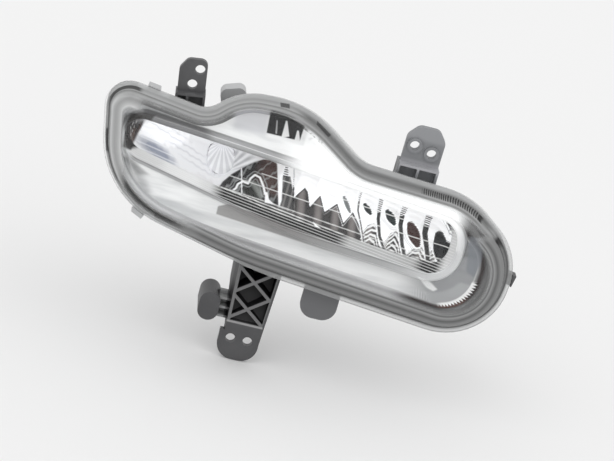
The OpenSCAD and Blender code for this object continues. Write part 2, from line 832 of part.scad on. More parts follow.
module bulb_glass() {
    r = glass_d / 2;
    f = -glass_back;
    color([0.9, 0.92, 0.95, 0.4]) {
        on_bulb_axis() rotate_extrude($fn = 64)
            difference() {
                union() {
                    translate([0, f]) square([r - 0.8, 2]);
                    translate([0, f + 2]) square([r, glass_len - r - 2]);
                    intersection() {
                        translate([0, f + glass_len - r]) circle(r, $fn = 64);
                        translate([0, f]) square([r, glass_len + 1]);
                    }
                }
                union() {
                    translate([-1, f + glass_floor]) square([r - glass_wall + 1, glass_len - r - glass_floor]);
                    intersection() {
                        translate([0, f + glass_len - r]) circle(r - glass_wall, $fn = 64);
                        translate([-1, f]) square([r + 1, glass_len + 1]);
                    }
                }
            }
        translate([-bulb_x - wedge_w / 2, glass_back - 1, bulb_z - wedge_t / 2])
            cube([wedge_w, wedge_len + 1, wedge_t]);
    }
}

filament_y = glass_back - 14;

module bulb_filament() {
    color([0.5, 0.5, 0.52]) {
        translate([-bulb_x - 3, filament_y, bulb_z]) rotate([0, 90, 0]) cylinder(d = 1.2, h = 6, $fn = 24);
        for (s = [-1, 1])
            translate([-bulb_x + s * 2.3, glass_back - glass_floor, bulb_z]) rotate([90, 0, 0])
                cylinder(d = 0.7, h = glass_back - glass_floor - filament_y, $fn = 24);
    }
}

lead_d = 0.7;

module bulb_leads() {
    color([0.7, 0.7, 0.72])
        for (s = [-1, 1])
            rod(lead_d, glass_back + 1.5, bulb_seat, -bulb_x + s * 4, bulb_z + s * (wedge_t + lead_d) / 2);
}

// Holder and connector

nose_start = port_start - 3;
holder_seal_t = 1.6;
plate_y = port_end + holder_seal_t;
plate_t = 2.6;
socket_y = plate_y + plate_t + 5;
socket_wall = 1.6;
socket_floor = 2;
blade_w = 2.8;
blade_t = 0.8;
blade_x = 4;

blade_slot = 0.1;
blade_end = socket_y + socket_floor + socket_len - 3;

// A straight strip from the bulb's lead to the end of the blade
module terminal(s, front, more = 0) {
    w = blade_w + 2 * more;
    t = blade_t + 2 * more;
    translate([s * blade_x - bulb_x - w / 2, front, bulb_z - t / 2]) cube([w, blade_end - front, t]);
}

module live_terminal() {
    color([0.78, 0.6, 0.35]) terminal(-1, bulb_seat);
}

module ground_terminal() {
    color([0.78, 0.6, 0.35]) terminal(1, bulb_seat);
}

module bulb_holder() {
    color([0.1, 0.1, 0.11])
        difference() {
            union() {
                rod(port_d - 2 * fit, nose_start, plate_y, -bulb_x, bulb_z);
                lugs(port_d / 2 + 2, 6, nose_start + 0.5, port_start - fit, 90);
                rod(port_d + 10, plate_y, plate_y + plate_t, -bulb_x, bulb_z);
                rod(socket_w + 8, plate_y, socket_y, -bulb_x, bulb_z);
                translate([
                    -bulb_x - socket_w / 2 - socket_wall, plate_y + plate_t, bulb_z - socket_h / 2 - socket_wall
                ])
                    cube([
                        socket_w + 2 * socket_wall, socket_y - plate_y - plate_t + socket_floor + socket_len,
                        socket_h + 2 * socket_wall
                    ]);
                translate([-bulb_x - 3, socket_y + socket_len - 5, bulb_z + socket_h / 2 + socket_wall - 0.2])
                    cube([6, 3, 1.8]);
            }
            rod(glass_d + 1, nose_start - 1, glass_back + 2.5, -bulb_x, bulb_z);
            translate([-bulb_x - wedge_w / 2 - fit, nose_start - 1, bulb_z - wedge_t / 2 - lead_d - fit])
                cube([wedge_w + 2 * fit, bulb_seat - nose_start + 1, wedge_t + 2 * (lead_d + fit)]);
            translate([-bulb_x - socket_w / 2, socket_y + socket_floor, bulb_z - socket_h / 2])
                cube([socket_w, socket_len + 1, socket_h]);
            for (s = [-1, 1]) terminal(s, bulb_seat - 1, blade_slot);
        }
}

module holder_seal() {
    color([0.55, 0.25, 0.15])
        difference() {
            rod(port_d + 7, port_end, plate_y, -bulb_x, bulb_z);
            rod(port_d + 0.6, port_end - 1, plate_y + 1, -bulb_x, bulb_z);
        }
}

// Breather

module vent_cap() {
    color([0.08, 0.08, 0.08])
        difference() {
            rod(vent_d + 4, housing_depth + 2, housing_depth + vent_len + 3, vent_x, vent_z);
            rod(vent_d + 0.1, housing_depth + 1, housing_depth + vent_len + 1, vent_x, vent_z);
            translate([vent_x - 10, housing_depth + vent_len + 0.6, vent_z - 0.6]) cube([20, 0.5, 1.2]);
        }
}

module vent_membrane() {
    color([0.9, 0.9, 0.88])
        rod(vent_d - 1, housing_depth + vent_len, housing_depth + vent_len + 0.4, vent_x, vent_z);
}

housing();
lens();
lens_seal();
bezel();
reflector();
reflector_screws();
bulb_glass();
bulb_filament();
bulb_leads();
bulb_holder();
holder_seal();
live_terminal();
ground_terminal();
vent_cap();
vent_membrane();
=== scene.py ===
import math

import bmesh
import bpy
from mathutils import Matrix, Vector


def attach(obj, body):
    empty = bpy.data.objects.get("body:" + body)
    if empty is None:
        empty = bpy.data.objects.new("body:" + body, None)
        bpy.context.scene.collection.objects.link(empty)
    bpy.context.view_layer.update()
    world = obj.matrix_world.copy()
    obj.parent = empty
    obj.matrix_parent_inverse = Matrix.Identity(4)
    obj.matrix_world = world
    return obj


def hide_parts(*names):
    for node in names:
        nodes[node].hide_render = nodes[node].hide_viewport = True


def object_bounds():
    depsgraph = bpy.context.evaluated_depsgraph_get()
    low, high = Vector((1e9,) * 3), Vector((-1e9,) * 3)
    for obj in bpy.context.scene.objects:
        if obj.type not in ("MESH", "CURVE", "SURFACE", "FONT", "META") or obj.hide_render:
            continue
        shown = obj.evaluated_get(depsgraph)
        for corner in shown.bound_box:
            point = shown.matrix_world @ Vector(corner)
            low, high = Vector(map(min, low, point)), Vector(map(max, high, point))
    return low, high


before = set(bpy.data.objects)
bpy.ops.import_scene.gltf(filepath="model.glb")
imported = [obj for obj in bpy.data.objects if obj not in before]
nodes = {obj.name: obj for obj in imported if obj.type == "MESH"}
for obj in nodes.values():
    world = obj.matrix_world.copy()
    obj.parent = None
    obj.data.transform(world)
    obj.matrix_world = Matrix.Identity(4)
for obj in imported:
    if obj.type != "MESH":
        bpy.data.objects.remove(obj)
cad_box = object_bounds()
mm = 0.001

# Camera. The lamp is seen a little from its left and from above, and lies turned in the picture,
# so a long lens stands 1.5 m away and is rolled by 16 degrees. camera_place is in millimetres.
azimuth, elevation, roll = (math.radians(v) for v in (-7, 20, 16))
camera_distance = 1.5
picture_w, picture_h = 614, 461
focal_px = camera_distance / (0.58 * mm)
towards_camera = Vector((
    math.sin(azimuth) * math.cos(elevation), -math.cos(azimuth) * math.cos(elevation), math.sin(elevation)))
level = Vector((math.cos(azimuth), math.sin(azimuth), 0))
upright = towards_camera.cross(level).normalized()
camera_x = level * math.cos(roll) + upright * math.sin(roll)
camera_y = upright * math.cos(roll) - level * math.sin(roll)
fixing_px = (238.706, 337.385)
slant = (
    camera_x * ((fixing_px[0] - picture_w / 2) / focal_px)
    - camera_y * ((fixing_px[1] - picture_h / 2) / focal_px) - towards_camera)
camera_place = slant * (-camera_distance / mm)
camera = bpy.data.objects.new("camera", bpy.data.cameras.new("camera"))
camera.data.sensor_fit = "HORIZONTAL"
camera.data.sensor_width = 36
camera.data.lens = 36 * focal_px / picture_w
camera.data.clip_start = 0.05
camera.data.clip_end = 50
camera.matrix_world = Matrix.Translation(slant * -camera_distance) @ Matrix(
    (camera_x, camera_y, towards_camera)).transposed().to_4x4()
bpy.context.scene.collection.objects.link(camera)
bpy.context.scene.camera = camera
bpy.context.scene.view_settings.view_transform = "Standard"


# Floor and light. A pale paper sweep lies under the lamp, lit by a pale room and two wide, soft
# boxes, so that the lamp throws only a faint shadow.


class Value:
    """A shader socket that takes part in plain arithmetic."""

    def __init__(self, finish, socket):
        self.finish, self.socket = finish, socket

    def math(self, operation, *others):
        inputs = {i: v for i, v in enumerate((self,) + others)}
        return self.finish.add("ShaderNodeMath", {"operation": operation}, inputs)

    def __add__(self, other):
        return self.math("ADD", other)

    def __sub__(self, other):
        return self.math("SUBTRACT", other)

    def __mul__(self, other):
        return self.math("MULTIPLY", other)

    def __truediv__(self, other):
        return self.math("DIVIDE", other)

    def __rsub__(self, other):
        return self.finish.add(
            "ShaderNodeMath", {"operation": "SUBTRACT"}, {0: other, 1: self})

    __radd__ = __add__
    __rmul__ = __mul__

    def __neg__(self):
        return self * -1


class Finish:
    """A material, or the world, that is built node by node."""

    def __init__(self, owner):
        owner.use_nodes = True
        self.owner, self.tree = owner, owner.node_tree
        self.tree.nodes.clear()
        self.shared = {}

    def add(self, kind, settings=None, inputs=None, out=0):
        made = self.tree.nodes.new(kind)
        for name, value in (settings or {}).items():
            if name == "stops":
                ramp = made.color_ramp
                ramp.elements[0].position, ramp.elements[-1].position = 0, 1
                ramp.elements[0].color, ramp.elements[-1].color = value[0][1], value[-1][1]
                for spot, colour in value[1:-1]:
                    ramp.elements.new(spot).color = colour
            else:
                setattr(made, name, value)
        for name, value in (inputs or {}).items():
            if isinstance(value, Value):
                self.tree.links.new(value.socket, made.inputs[name])
            else:
                made.inputs[name].default_value = value
        return Value(self, made.outputs[out])

    def place(self, axis=None):
        """Object coordinates, or one of them in millimetres."""
        if "place" not in self.shared:
            self.shared["place"] = self.add("ShaderNodeTexCoord", out="Object")
        if axis is None:
            return self.shared["place"]
        if axis not in self.shared:
            self.shared[axis] = self.add(
                "ShaderNodeSeparateXYZ", None, {0: self.shared["place"]}, out=axis) * 1000
        return self.shared[axis]

    def grain(self, scale, detail=3, rough=0.55, warp=0, along=(1, 1, 1)):
        stretched = self.add(
            "ShaderNodeMapping", {"vector_type": "POINT"}, {"Vector": self.place(), "Scale": along})
        return self.add("ShaderNodeTexNoise", None, {
            "Vector": stretched, "Scale": scale, "Detail": detail, "Roughness": rough, "Distortion": warp})

    def between(self, value, low, high):
        """0 below low and 1 above high, smooth between them."""
        return self.add("ShaderNodeMapRange", {"interpolation_type": "SMOOTHSTEP"}, {
            "Value": value, "From Min": low, "From Max": high, "To Min": 0, "To Max": 1})

    def tone(self, share, low, high):
        """One colour turning into another."""
        return self.add(
            "ShaderNodeMix", {"data_type": "RGBA"},
            {"Factor": share, "A": (*low, 1) if isinstance(low, tuple) else low,
             "B": (*high, 1) if isinstance(high, tuple) else high}, out=2)

    def bump(self, height, depth, strength=1.0):
        return self.add("ShaderNodeBump", None, {
            "Height": height, "Distance": depth, "Strength": strength})

    def blend(self, share, first, second):
        return self.add("ShaderNodeMixShader", None, {0: share, 1: first, 2: second})

    def laid_out(self):
        """Place across and up, in mm on the plane y = 0, carried there along lines from the camera's place.

        Marks set out with it line up in the photo's view. In other views they stay on the surface.
        """
        if "laid_out" not in self.shared:
            beyond = self.place("Y") - camera_place.y
            reach = self.add("ShaderNodeMath", {"operation": "DIVIDE"}, {0: -camera_place.y, 1: beyond})
            self.shared["laid_out"] = (
                (self.place("X") - camera_place.x) * reach + camera_place.x,
                (self.place("Z") - camera_place.z) * reach + camera_place.z)
        return self.shared["laid_out"]

    def patch(self, corners, blur=0.5):
        """1 inside a convex patch, and 0 outside it. Its corners are laid out from the camera, clockwise."""
        a, b = self.laid_out()
        share = None
        for (ax, az), (bx, bz) in zip(corners, corners[1:] + corners[:1]):
            length = math.hypot(bx - ax, bz - az)
            nx, nz = (bz - az) / length, (ax - bx) / length
            side = self.between(a * nx + b * nz - (ax * nx + az * nz), -blur, blur)
            share = side if share is None else share * side
        return share

    def surface(self, shader):
        world = isinstance(self.owner, bpy.types.World)
        kind = "ShaderNodeOutputWorld" if world else "ShaderNodeOutputMaterial"
        self.tree.links.new(shader.socket, self.tree.nodes.new(kind).inputs["Surface"])
        return self.owner


def dress(piece, material):
    piece.data.materials.clear()
    piece.data.materials.append(material)


paper = Finish(bpy.data.materials.new("pale_paper"))
dress_paper = paper.surface(paper.add("ShaderNodeBsdfDiffuse", None, {"Color": (0.86, 0.86, 0.86, 1)}))
bm = bmesh.new()
bmesh.ops.create_grid(bm, x_segments=1, y_segments=1, size=14)
bmesh.ops.translate(bm, verts=bm.verts, vec=(0, 0, cad_box[0].z - 0.2 * mm))
floor = bpy.data.objects.new("floor", bpy.data.meshes.new("floor"))
bm.to_mesh(floor.data)
bm.free()
bpy.context.scene.collection.objects.link(floor)
dress(floor, dress_paper)

bpy.context.scene.world = bpy.data.worlds.new("room")
room = Finish(bpy.context.scene.world)
room.surface(room.add("ShaderNodeBackground", None, {"Color": (1, 1, 1, 1), "Strength": 0.9}))

for name, spot, spread, power in (("soft_left", (-1.2, -1.3, 1.9), 50, 0.45),
        ("soft_right", (1.5, -0.6, 1.3), 70, 0.22)):
    soft = bpy.data.objects.new(name, bpy.data.lights.new(name, "SUN"))
    soft.data.angle = math.radians(spread)
    soft.data.energy = power
    soft.rotation_euler = (-Vector(spot)).to_track_quat("-Z", "Y").to_euler()
    bpy.context.scene.collection.objects.link(soft)


# Housing. One injection-moulded shell of grey mineral-filled plastic, with its tabs, its ribbed
# bracket and its oval tower. The mould leaves a fine spark-eroded grain and slightly rounded edges.
def taken_over(node, name):
    """A copy of a CAD node with its triangles merged, which then stands for the node."""
    piece = nodes[node].copy()
    piece.data = nodes[node].data.copy()
    piece.name = name
    for key in list(piece.keys()):
        del piece[key]
    piece.parent = None
    bpy.context.scene.collection.objects.link(piece)
    made = bmesh.new()
    made.from_mesh(piece.data)
    bmesh.ops.remove_doubles(made, verts=made.verts, dist=0.002 * mm)
    bmesh.ops.dissolve_limit(made, angle_limit=math.radians(1), verts=made.verts, edges=made.edges)
    made.to_mesh(piece.data)
    made.free()
    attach(piece, "root")
    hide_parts(node)
    return piece


def soften(piece, degrees=35):
    """Shades gentle bends as curves and keeps the sharp edges."""
    made = bmesh.new()
    made.from_mesh(piece.data)
    for face in made.faces:
        face.smooth = True
    for edge in made.edges:
        edge.smooth = len(edge.link_faces) == 2 and edge.calc_face_angle(0) < math.radians(degrees)
    made.to_mesh(piece.data)
    made.free()


def moulded(name, dark, pale, grain_mm=0.5, rough=0.5):
    """Moulded plastic: a fine grain, faint flow marks, and paler rubbed patches."""
    f = Finish(bpy.data.materials.new(name))
    grain = f.grain(1000 / grain_mm, 2, 0.6)
    cloud = f.grain(26, 4, 0.6, 0.4)
    colour = f.tone(f.between(cloud, 0.35, 0.7), dark, pale)
    gloss = cloud * 0.14 + grain * 0.08 + (rough - 0.12)
    return f, grain, cloud, colour, gloss


housing = taken_over("housing", "housing_shell")
soften(housing)
f, grain, cloud, colour, gloss = moulded("housing_grey", (0.062, 0.062, 0.065), (0.085, 0.085, 0.088))
x, y, z = (f.place(axis) for axis in "XYZ")
# Painted light: the right tab and the tongue are coloured paler, standing for the light that falls on them.
right_tab_painted_light = f.between(x, 52, 62) * f.between(z, 108, 118)
tongue_painted_light = f.between(x, 24, 28) * (1 - f.between(z, 45, 52)) * (1 - f.between(x, 54, 60))
colour = f.tone(right_tab_painted_light, colour, (0.21, 0.215, 0.225))
colour = f.tone(tongue_painted_light * 0.8, colour, (0.15, 0.152, 0.158))


def within(value, low, high, blur=0.4):
    return f.between(value, low - blur, low + blur) * (1 - f.between(value, high - blur, high + blur))


# Painted light and shade on the ribbed bracket: paler rib fronts, near-black pockets between the ribs, a pale
# line along the ledge below them and a paler left side wall.
behind = f.between(y, -3.3, -2.2)
lattice = within(z, 11, 46) * within(x.math("ABSOLUTE") - z * 0.05, -20, 10.6)
colour = f.tone(lattice * (1 - behind), colour, (0.15, 0.15, 0.152))
colour = f.tone(lattice * behind, colour, (0.007, 0.007, 0.008))
colour = f.tone(within(z, 9.6, 10.9, 0.2) * within(x, -12, 11.5) * (1 - behind), colour, (0.3, 0.3, 0.3))
bracket_side_painted_light = within(x + z * 0.05, -16, -11.6, 0.2) * within(z, -4, 50) * behind * (1 - f.between(y, 8, 12))
colour = f.tone(bracket_side_painted_light, colour, (0.25, 0.255, 0.255))
# Painted shade: the recesses behind both tabs are coloured near black.
left_foot_painted_shade = within(x, -69.5, -52.5) * within(z, 118, 137)
right_foot_painted_shade = within(x, 57, 91) * within(z, 108, 126.5)
colour = f.tone((left_foot_painted_shade + right_foot_painted_shade * 0.7) * behind * (1 - f.between(y, 13, 15)), colour,
    (0.012, 0.011, 0.014))
# Painted highlights on the right tab: a pale band under its holes and a paler upper part.
colour = f.tone(within(x, 60, 86) * within(z, 127.5, 131.5, 1.5) * (1 - behind) * 0.7, colour,
    (0.42, 0.42, 0.44))
colour = f.tone(within(x, 54, 92) * within(z, 144, 160, 1.5) * (1 - behind) * 0.4, colour,
    (0.36, 0.365, 0.38))
pale_boss = within(x, -52, -24) * within(z, 126, 156) * within(y, 9.4, 30.6)
pale_catch = within(x, -93, -75) * within(z, 128, 146) + within(x, -86, -66) * within(z, 50, 69)
pale_catch = pale_catch * (1 - f.between(y, 2.5, 4))
colour = f.tone(pale_boss + pale_catch, colour, (0.46, 0.465, 0.47))
dress(housing, f.surface(f.add("ShaderNodeBsdfPrincipled", None, {
    "Base Color": colour, "Roughness": gloss, "Specular IOR Level": 0.5,
    "Normal": f.bump(grain, 0.03 * mm, 0.35)})))


# Lens. One clear acrylic moulding: a flange and a leg that sits in the sealant, a rounded side
# wall, and a crowned front that follows the hump. It is polished and clear; the grey along its edges is
# painted reflection and refraction.
lens_corners = [
    (139, 33.2, 36), (141.2, 94.4, 38), (105, 122, 48), (40.4, 125.8, 24), (2.2, 152, 60), (-36.6, 150.1, 36),
    (-52.3, 134.6, 11), (-112.1, 142.7, 14.5), (-98.5, 70.3, 56), (0, 46.8, 200)]
flange_share = (0.8, 0.9, 1, 1, 1, 1, 1, 0.6, 0.5, 0.9)
skirt_share = (9, 8, 4, 1, 1, 1, 0.3, 0.3, 0.5, 4)
lens_spine = (Vector((-82, 106)), Vector((104, 81)))


def heading(a, b):
    return (Vector(b[:2]) - Vector(a[:2])).normalized()


def moved_in(corners, distances):
    """The corners after each side has moved inwards by its own distance."""
    made = []
    for i, corner in enumerate(corners):
        h = (i - 1) % len(corners)
        u, v = heading(corners[h], corner), heading(corner, corners[(i + 1) % len(corners)])
        here = Vector(corner[:2])
        p = here - Vector((u.y, -u.x)) * distances[h]
        q = here - Vector((v.y, -v.x)) * distances[i]
        turn = u.x * v.y - u.y * v.x
        meet = p + u * (((q - p).x * v.y - (q - p).y * v.x) / turn)
        radius = corner[2] - math.copysign(1, turn) * (distances[h] + distances[i]) / 2
        made.append((meet.x, meet.y, max(radius, 1.2)))
    return made


def rounded(corners, steps=14, cuts=8):
    """Points along the shape: steps round each corner and cuts along each side, in millimetres."""
    arcs = []
    for i, corner in enumerate(corners):
        a, b = Vector(corners[i - 1][:2]), Vector(corner[:2])
        u, v = heading(a, b), heading(b, corners[(i + 1) % len(corners)])
        turn = math.atan2(u.x * v.y - u.y * v.x, u.dot(v))
        side = math.copysign(1, turn)
        outward = Vector((u.y, -u.x))
        centre = b - u * corner[2] * math.tan(abs(turn) / 2) - outward * side * corner[2]
        start = math.atan2(outward.y, outward.x)
        arcs.append([
            centre + side * corner[2] * Vector((math.cos(start + turn * k / steps),
            math.sin(start + turn * k / steps)))
            for k in range(steps + 1)])
    made = []
    for i, arc in enumerate(arcs):
        after = arcs[(i + 1) % len(arcs)][0]
        made += arc + [arc[-1].lerp(after, k / (cuts + 1)) for k in range(1, cuts + 1)]
    return made


def lens_line(flange, more, skirt=0):
    return rounded(moved_in(lens_corners, [
        flange * 5 * flange_share[i] + more + skirt * skirt_share[i] for i in range(10)]))


def at_depth(line, y):
    return [Vector((p.x, y, p.y)) * mm for p in line]


def nearest_spine(p):
    run = lens_spine[1] - lens_spine[0]
    return lens_spine[0] + run * max(0, min(1, (p - lens_spine[0]).dot(run) / run.length_squared))


def crown_line(share, more):
    return [nearest_spine(p).lerp(p, share) for p in lens_line(1, more)]


def loft(name, rings, levels, closed=False):
    """Extrudes the first ring's edges from ring to ring. U is the run along it, V each ring's level."""
    made = bmesh.new()
    number = made.verts.layers.int.new("number")
    row = made.verts.layers.int.new("row")
    first = [made.verts.new(p) for p in rings[0]]
    for i, v in enumerate(first):
        v[number] = i
    edges = [made.edges.new((first[i - 1], first[i])) for i in range(len(first))]
    start_edges = list(edges)
    for k, ring in enumerate(rings[1:], 1):
        grown = bmesh.ops.extrude_edge_only(made, edges=edges)["geom"]
        fresh = {g for g in grown if isinstance(g, bmesh.types.BMVert)}
        for v in fresh:
            v.co = ring[v[number]]
            v[row] = k
        edges = [g for g in grown if isinstance(g, bmesh.types.BMEdge) and g.verts[0] in fresh
            and g.verts[1] in fresh]
    if closed:
        bmesh.ops.bridge_loops(made, edges=start_edges + edges)
    else:
        bmesh.ops.contextual_create(made, geom=start_edges)
        bmesh.ops.contextual_create(made, geom=edges)
    run = [0]
    for a, b in zip(rings[0], rings[0][1:] + rings[0][:1]):
        run.append(run[-1] + (b - a).length)
    sheet = made.loops.layers.uv.new("run")
    for face in made.faces:
        wraps = {v[number] for v in face.verts} >= {0, len(first) - 1} and len(face.verts) == 4
        for corner in face.loops:
            n = corner.vert[number]
            corner[sheet].uv = (run[-1] if wraps and n == 0 else run[n], levels[corner.vert[row]])
        face.smooth = True
    bmesh.ops.recalc_face_normals(made, faces=made.faces)
    piece = bpy.data.objects.new(name, bpy.data.meshes.new(name))
    made.to_mesh(piece.data)
    made.free()
    bpy.context.scene.collection.objects.link(piece)
    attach(piece, "root")
    return piece


lens_wall = 2.2
hidden_level = 60
outer_crown = ((0.97, -19.35), (0.9, -20.1), (0.8, -20.95), (0.68, -21.75), (0.55, -22.3), (0.4, -22.7),
    (0.22, -22.92), (0.05, -22.98))
outer_wall = ((0, -13.05), (0.25, -13.3), (0.45, -14), (0.85, -15.8), (1.15, -16.9), (1.7, -17.8),
    (2.6, -18.5), (4, -18.95))
rings = [at_depth(crown_line(s, 6 + lens_wall), y + lens_wall) for s, y in reversed(outer_crown)]
rings += [at_depth(lens_line(1, m + lens_wall), y + lens_wall) for m, y in reversed(outer_wall[3:])]
rings += [at_depth(lens_line(1, 2.4), -12), at_depth(lens_line(1, 2.4), -6.6),
    at_depth(lens_line(1, 2.2), -6.5),
          at_depth(lens_line(1, 0.4), -6.5), at_depth(lens_line(1, 0.2), -6.7),
          at_depth(lens_line(1, 0.2), -11),
          at_depth(lens_line(0, 0.3), -11)]
levels = [hidden_level] * len(rings)
rings += [at_depth(lens_line(0, 0), -11.3), at_depth(lens_line(0, 0), -12.6),
          at_depth(lens_line(0, 0.1), -12.9), at_depth(lens_line(0, 0.4), -13)]
levels += [0, 0.3, 0.6, 0.9]
rings += [at_depth(lens_line(1, m), y) for m, y in outer_wall]
levels += [5, 5.2, 5.6, 6.2, 6.6, 7.2, 8, 9.4]
rings += [at_depth(crown_line(s, 6), y) for s, y in outer_crown]
levels += [11.6 + 40 * (0.97 - s) for s, y in outer_crown]
lens = loft("lens_cover", rings, levels)
f = Finish(bpy.data.materials.new("clear_acrylic"))
sheen = f.add("ShaderNodeFresnel", None, {"IOR": 1.49})
see_through = f.add("ShaderNodeBsdfTransparent", None, {"Color": (0.99, 0.993, 0.993, 1)})
gloss = f.add("ShaderNodeBsdfGlossy", None, {"Color": (1, 1, 1, 1), "Roughness": 0.04})
clear = f.blend(sheen * 0.35, see_through, gloss)
sheet = f.add("ShaderNodeUVMap", {"uv_map": "run"})
around = f.add("ShaderNodeSeparateXYZ", None, {0: sheet}, out="X") * 1000
across = f.add("ShaderNodeSeparateXYZ", None, {0: sheet}, out="Y") + f.grain(22, 2) * 0.5 - 0.25
a, b = f.laid_out()


def rim(table):
    """Grey and cover over the first 18 mm from the edge, from a row of (place, grey, cover)."""
    stops = [(at / 18, (grey, grey, cover, 1)) for at, grey, cover in table]
    both = f.add("ShaderNodeValToRGB", {"stops": stops}, {0: across / 18})
    return [f.add("ShaderNodeSeparateColor", {"mode": "RGB"}, {0: both}, out=part)
        for part in ("Green", "Blue")]


# Painted reflections and refractions in the clear side wall and flange: each table gives grey and cover
# across the rim for one stretch of it.
along_top = rim((
    (0, 0.6, 0.4), (0.6, 0.5, 0.6), (1.5, 0.46, 0.7), (2.4, 0.48, 0.7), (3, 0.36, 0.8), (3.8, 0.44, 0.75),
    (4.6, 0.6, 0.7), (5.2, 0.26, 0.9), (5.7, 0.4, 0.8), (6.2, 0.66, 0.6), (7, 0.6, 0.35), (8.5, 0.55, 0.12),
    (11, 0.6, 0.03),
    (18, 0.6, 0)))
along_flank = rim((
    (0, 0.6, 0.4), (0.8, 0.43, 0.7), (1.8, 0.44, 0.75), (2.6, 0.36, 0.85), (3.6, 0.2, 0.9), (4.4, 0.15, 0.95),
    (5, 0.2, 0.95), (5.8, 0.3, 0.9), (6.8, 0.36, 0.9), (7.6, 0.18, 0.95), (8.2, 0.3, 0.85), (8.8, 0.7, 0.4),
    (10, 0.75, 0.1), (18, 0.7, 0)))
along_low = rim((
    (0, 0.5, 0.35), (0.8, 0.4, 0.6), (2, 0.44, 0.55), (3, 0.3, 0.8), (3.9, 0.07, 0.95), (4.5, 0.15, 0.95),
    (5.5, 0.23, 0.95), (6, 0.09, 0.95), (6.6, 0.19, 0.95), (8.5, 0.23, 0.95), (9.4, 0.17, 0.95),
    (10.2, 0.11, 0.95),
    (11, 0.2, 0.95), (11.8, 0.31, 0.9), (12.5, 0.26, 0.9), (13, 0.12, 0.95), (13.8, 0.2, 0.8),
    (14.6, 0.45, 0.5),
    (16, 0.5, 0.2), (18, 0.5, 0)))
along_left = rim((
    (0, 0.75, 0.2), (1.2, 0.65, 0.35), (2.6, 0.5, 0.6), (3.5, 0.35, 0.85), (4.2, 0.09, 0.95),
    (4.8, 0.13, 0.95),
    (5.4, 0.4, 0.9), (6, 0.57, 0.9), (7, 0.57, 0.9), (8, 0.43, 0.9), (9, 0.36, 0.9), (10, 0.4, 0.88),
    (11, 0.5, 0.85),
    (12.5, 0.68, 0.8), (13.6, 0.5, 0.7), (14.4, 0.45, 0.5), (16, 0.6, 0.2), (18, 0.6, 0)))
on_flank = f.between(a, -6, 6) * f.between(b - a * 0.12, 80, 90)
low = f.between(62 - a * 0.13 - b, -2, 3) * f.between(a, -58, -34)
right = f.between(a, 103, 118) * (1 - f.between(b - a * 0.6, 18, 26))
on_low = 1 - (1 - low) * (1 - right)
on_left = f.between(-a, 84, 93) * f.between(b, 60, 72) * (1 - f.between(b, 122, 132))
grey, cover = along_top
for share, (other_grey, other_cover) in ((on_flank, along_flank), (on_low, along_low), (on_left, along_left)):
    grey = grey + (other_grey - grey) * share
    cover = cover + (other_cover - cover) * share
ticks = f.between((around * (2 * math.pi / 1.28)).math("SINE"), -0.2, 0.3)
level_in = f.between(across, 3.5, 3.9) * (1 - f.between(across, 6.3, 6.7))
right_ticks = ticks * level_in * f.between(a, 77, 80) * f.between(b - a * 0.1, 77, 82)
left_ticks = ticks * f.between(across, 2.4, 2.8) * (1 - f.between(across, 4.4, 4.8))
left_ticks = left_ticks * f.between(-a, 88, 92) * f.between(b, 84, 90)
grey = grey * (1 - right_ticks * 0.88) * (1 - left_ticks * 0.85)
cover = (cover + right_ticks * 0.5 + left_ticks * 0.4).math("MINIMUM", 0.97)
slot_one = f.patch([(-13.2, 144.6), (-8, 145.2), (-7.2, 142.4), (-12.4, 142.2)], 0.3)
slot_two = f.patch([(9.6, 139.4), (19.3, 133.2), (18.2, 131.4), (9.8, 137.2)], 0.3)
grey = grey * (1 - (slot_one + slot_two) * 0.75)
cover = cover * (1 - f.patch([(-17.2, 139), (-8.3, 138.6), (3.6, 134.5), (3.2, 125.3), (-16.2, 125.3)], 0.8)
    * 0.9)
edge_colour = f.add("ShaderNodeCombineColor", {"mode": "RGB"}, {0: grey, 1: grey * 1.01, 2: grey * 1.01})
painted_edge_reflection = f.add("ShaderNodeBsdfPrincipled", None, {"Base Color": edge_colour, "Roughness": 0.25})
dress(lens, f.surface(f.blend(cover, clear, painted_edge_reflection)))
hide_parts("lens")


# Sealant. A black butyl bead that is run into the housing's channel before the lens is pressed in.
f, grain, cloud, colour, gloss = moulded("black_butyl", (0.012, 0.012, 0.013), (0.025, 0.025, 0.026), 1.5,
    0.45)
dress(nodes["lens_seal"], f.surface(f.add("ShaderNodeBsdfPrincipled", None, {
    "Base Color": colour, "Roughness": gloss, "Normal": f.bump(cloud, 0.2 * mm, 0.5)})))


# Bezel. A satin silver moulding that trims the reflector: a long rounded ring with a stepped inner
# wall, and a bright floor that reaches out to the lens. Shading on the ring and the steps, shadows and glare
# on the floor, and a faint glow are painted.
eye_corners = [
    (104, 69.2, 13.6), (105, 86, 34), (103.5, 102.6, 13.6), (50, 107.8, 400), (0, 112.7, 400),
    (-32, 115.6, 400),
    (-55, 117.5, 400), (-95.5, 120.8, 9.5), (-92, 98.4, 13.5), (0, 78, 200)]
band_share = (0.75, 0.75, 0.57, 0.57, 0.57, 0.57, 0.57, 0.27, 0.38, 0.8)


def eye_line(band, more):
    return rounded(moved_in(eye_corners, [-band * 8 * s - more for s in band_share]))


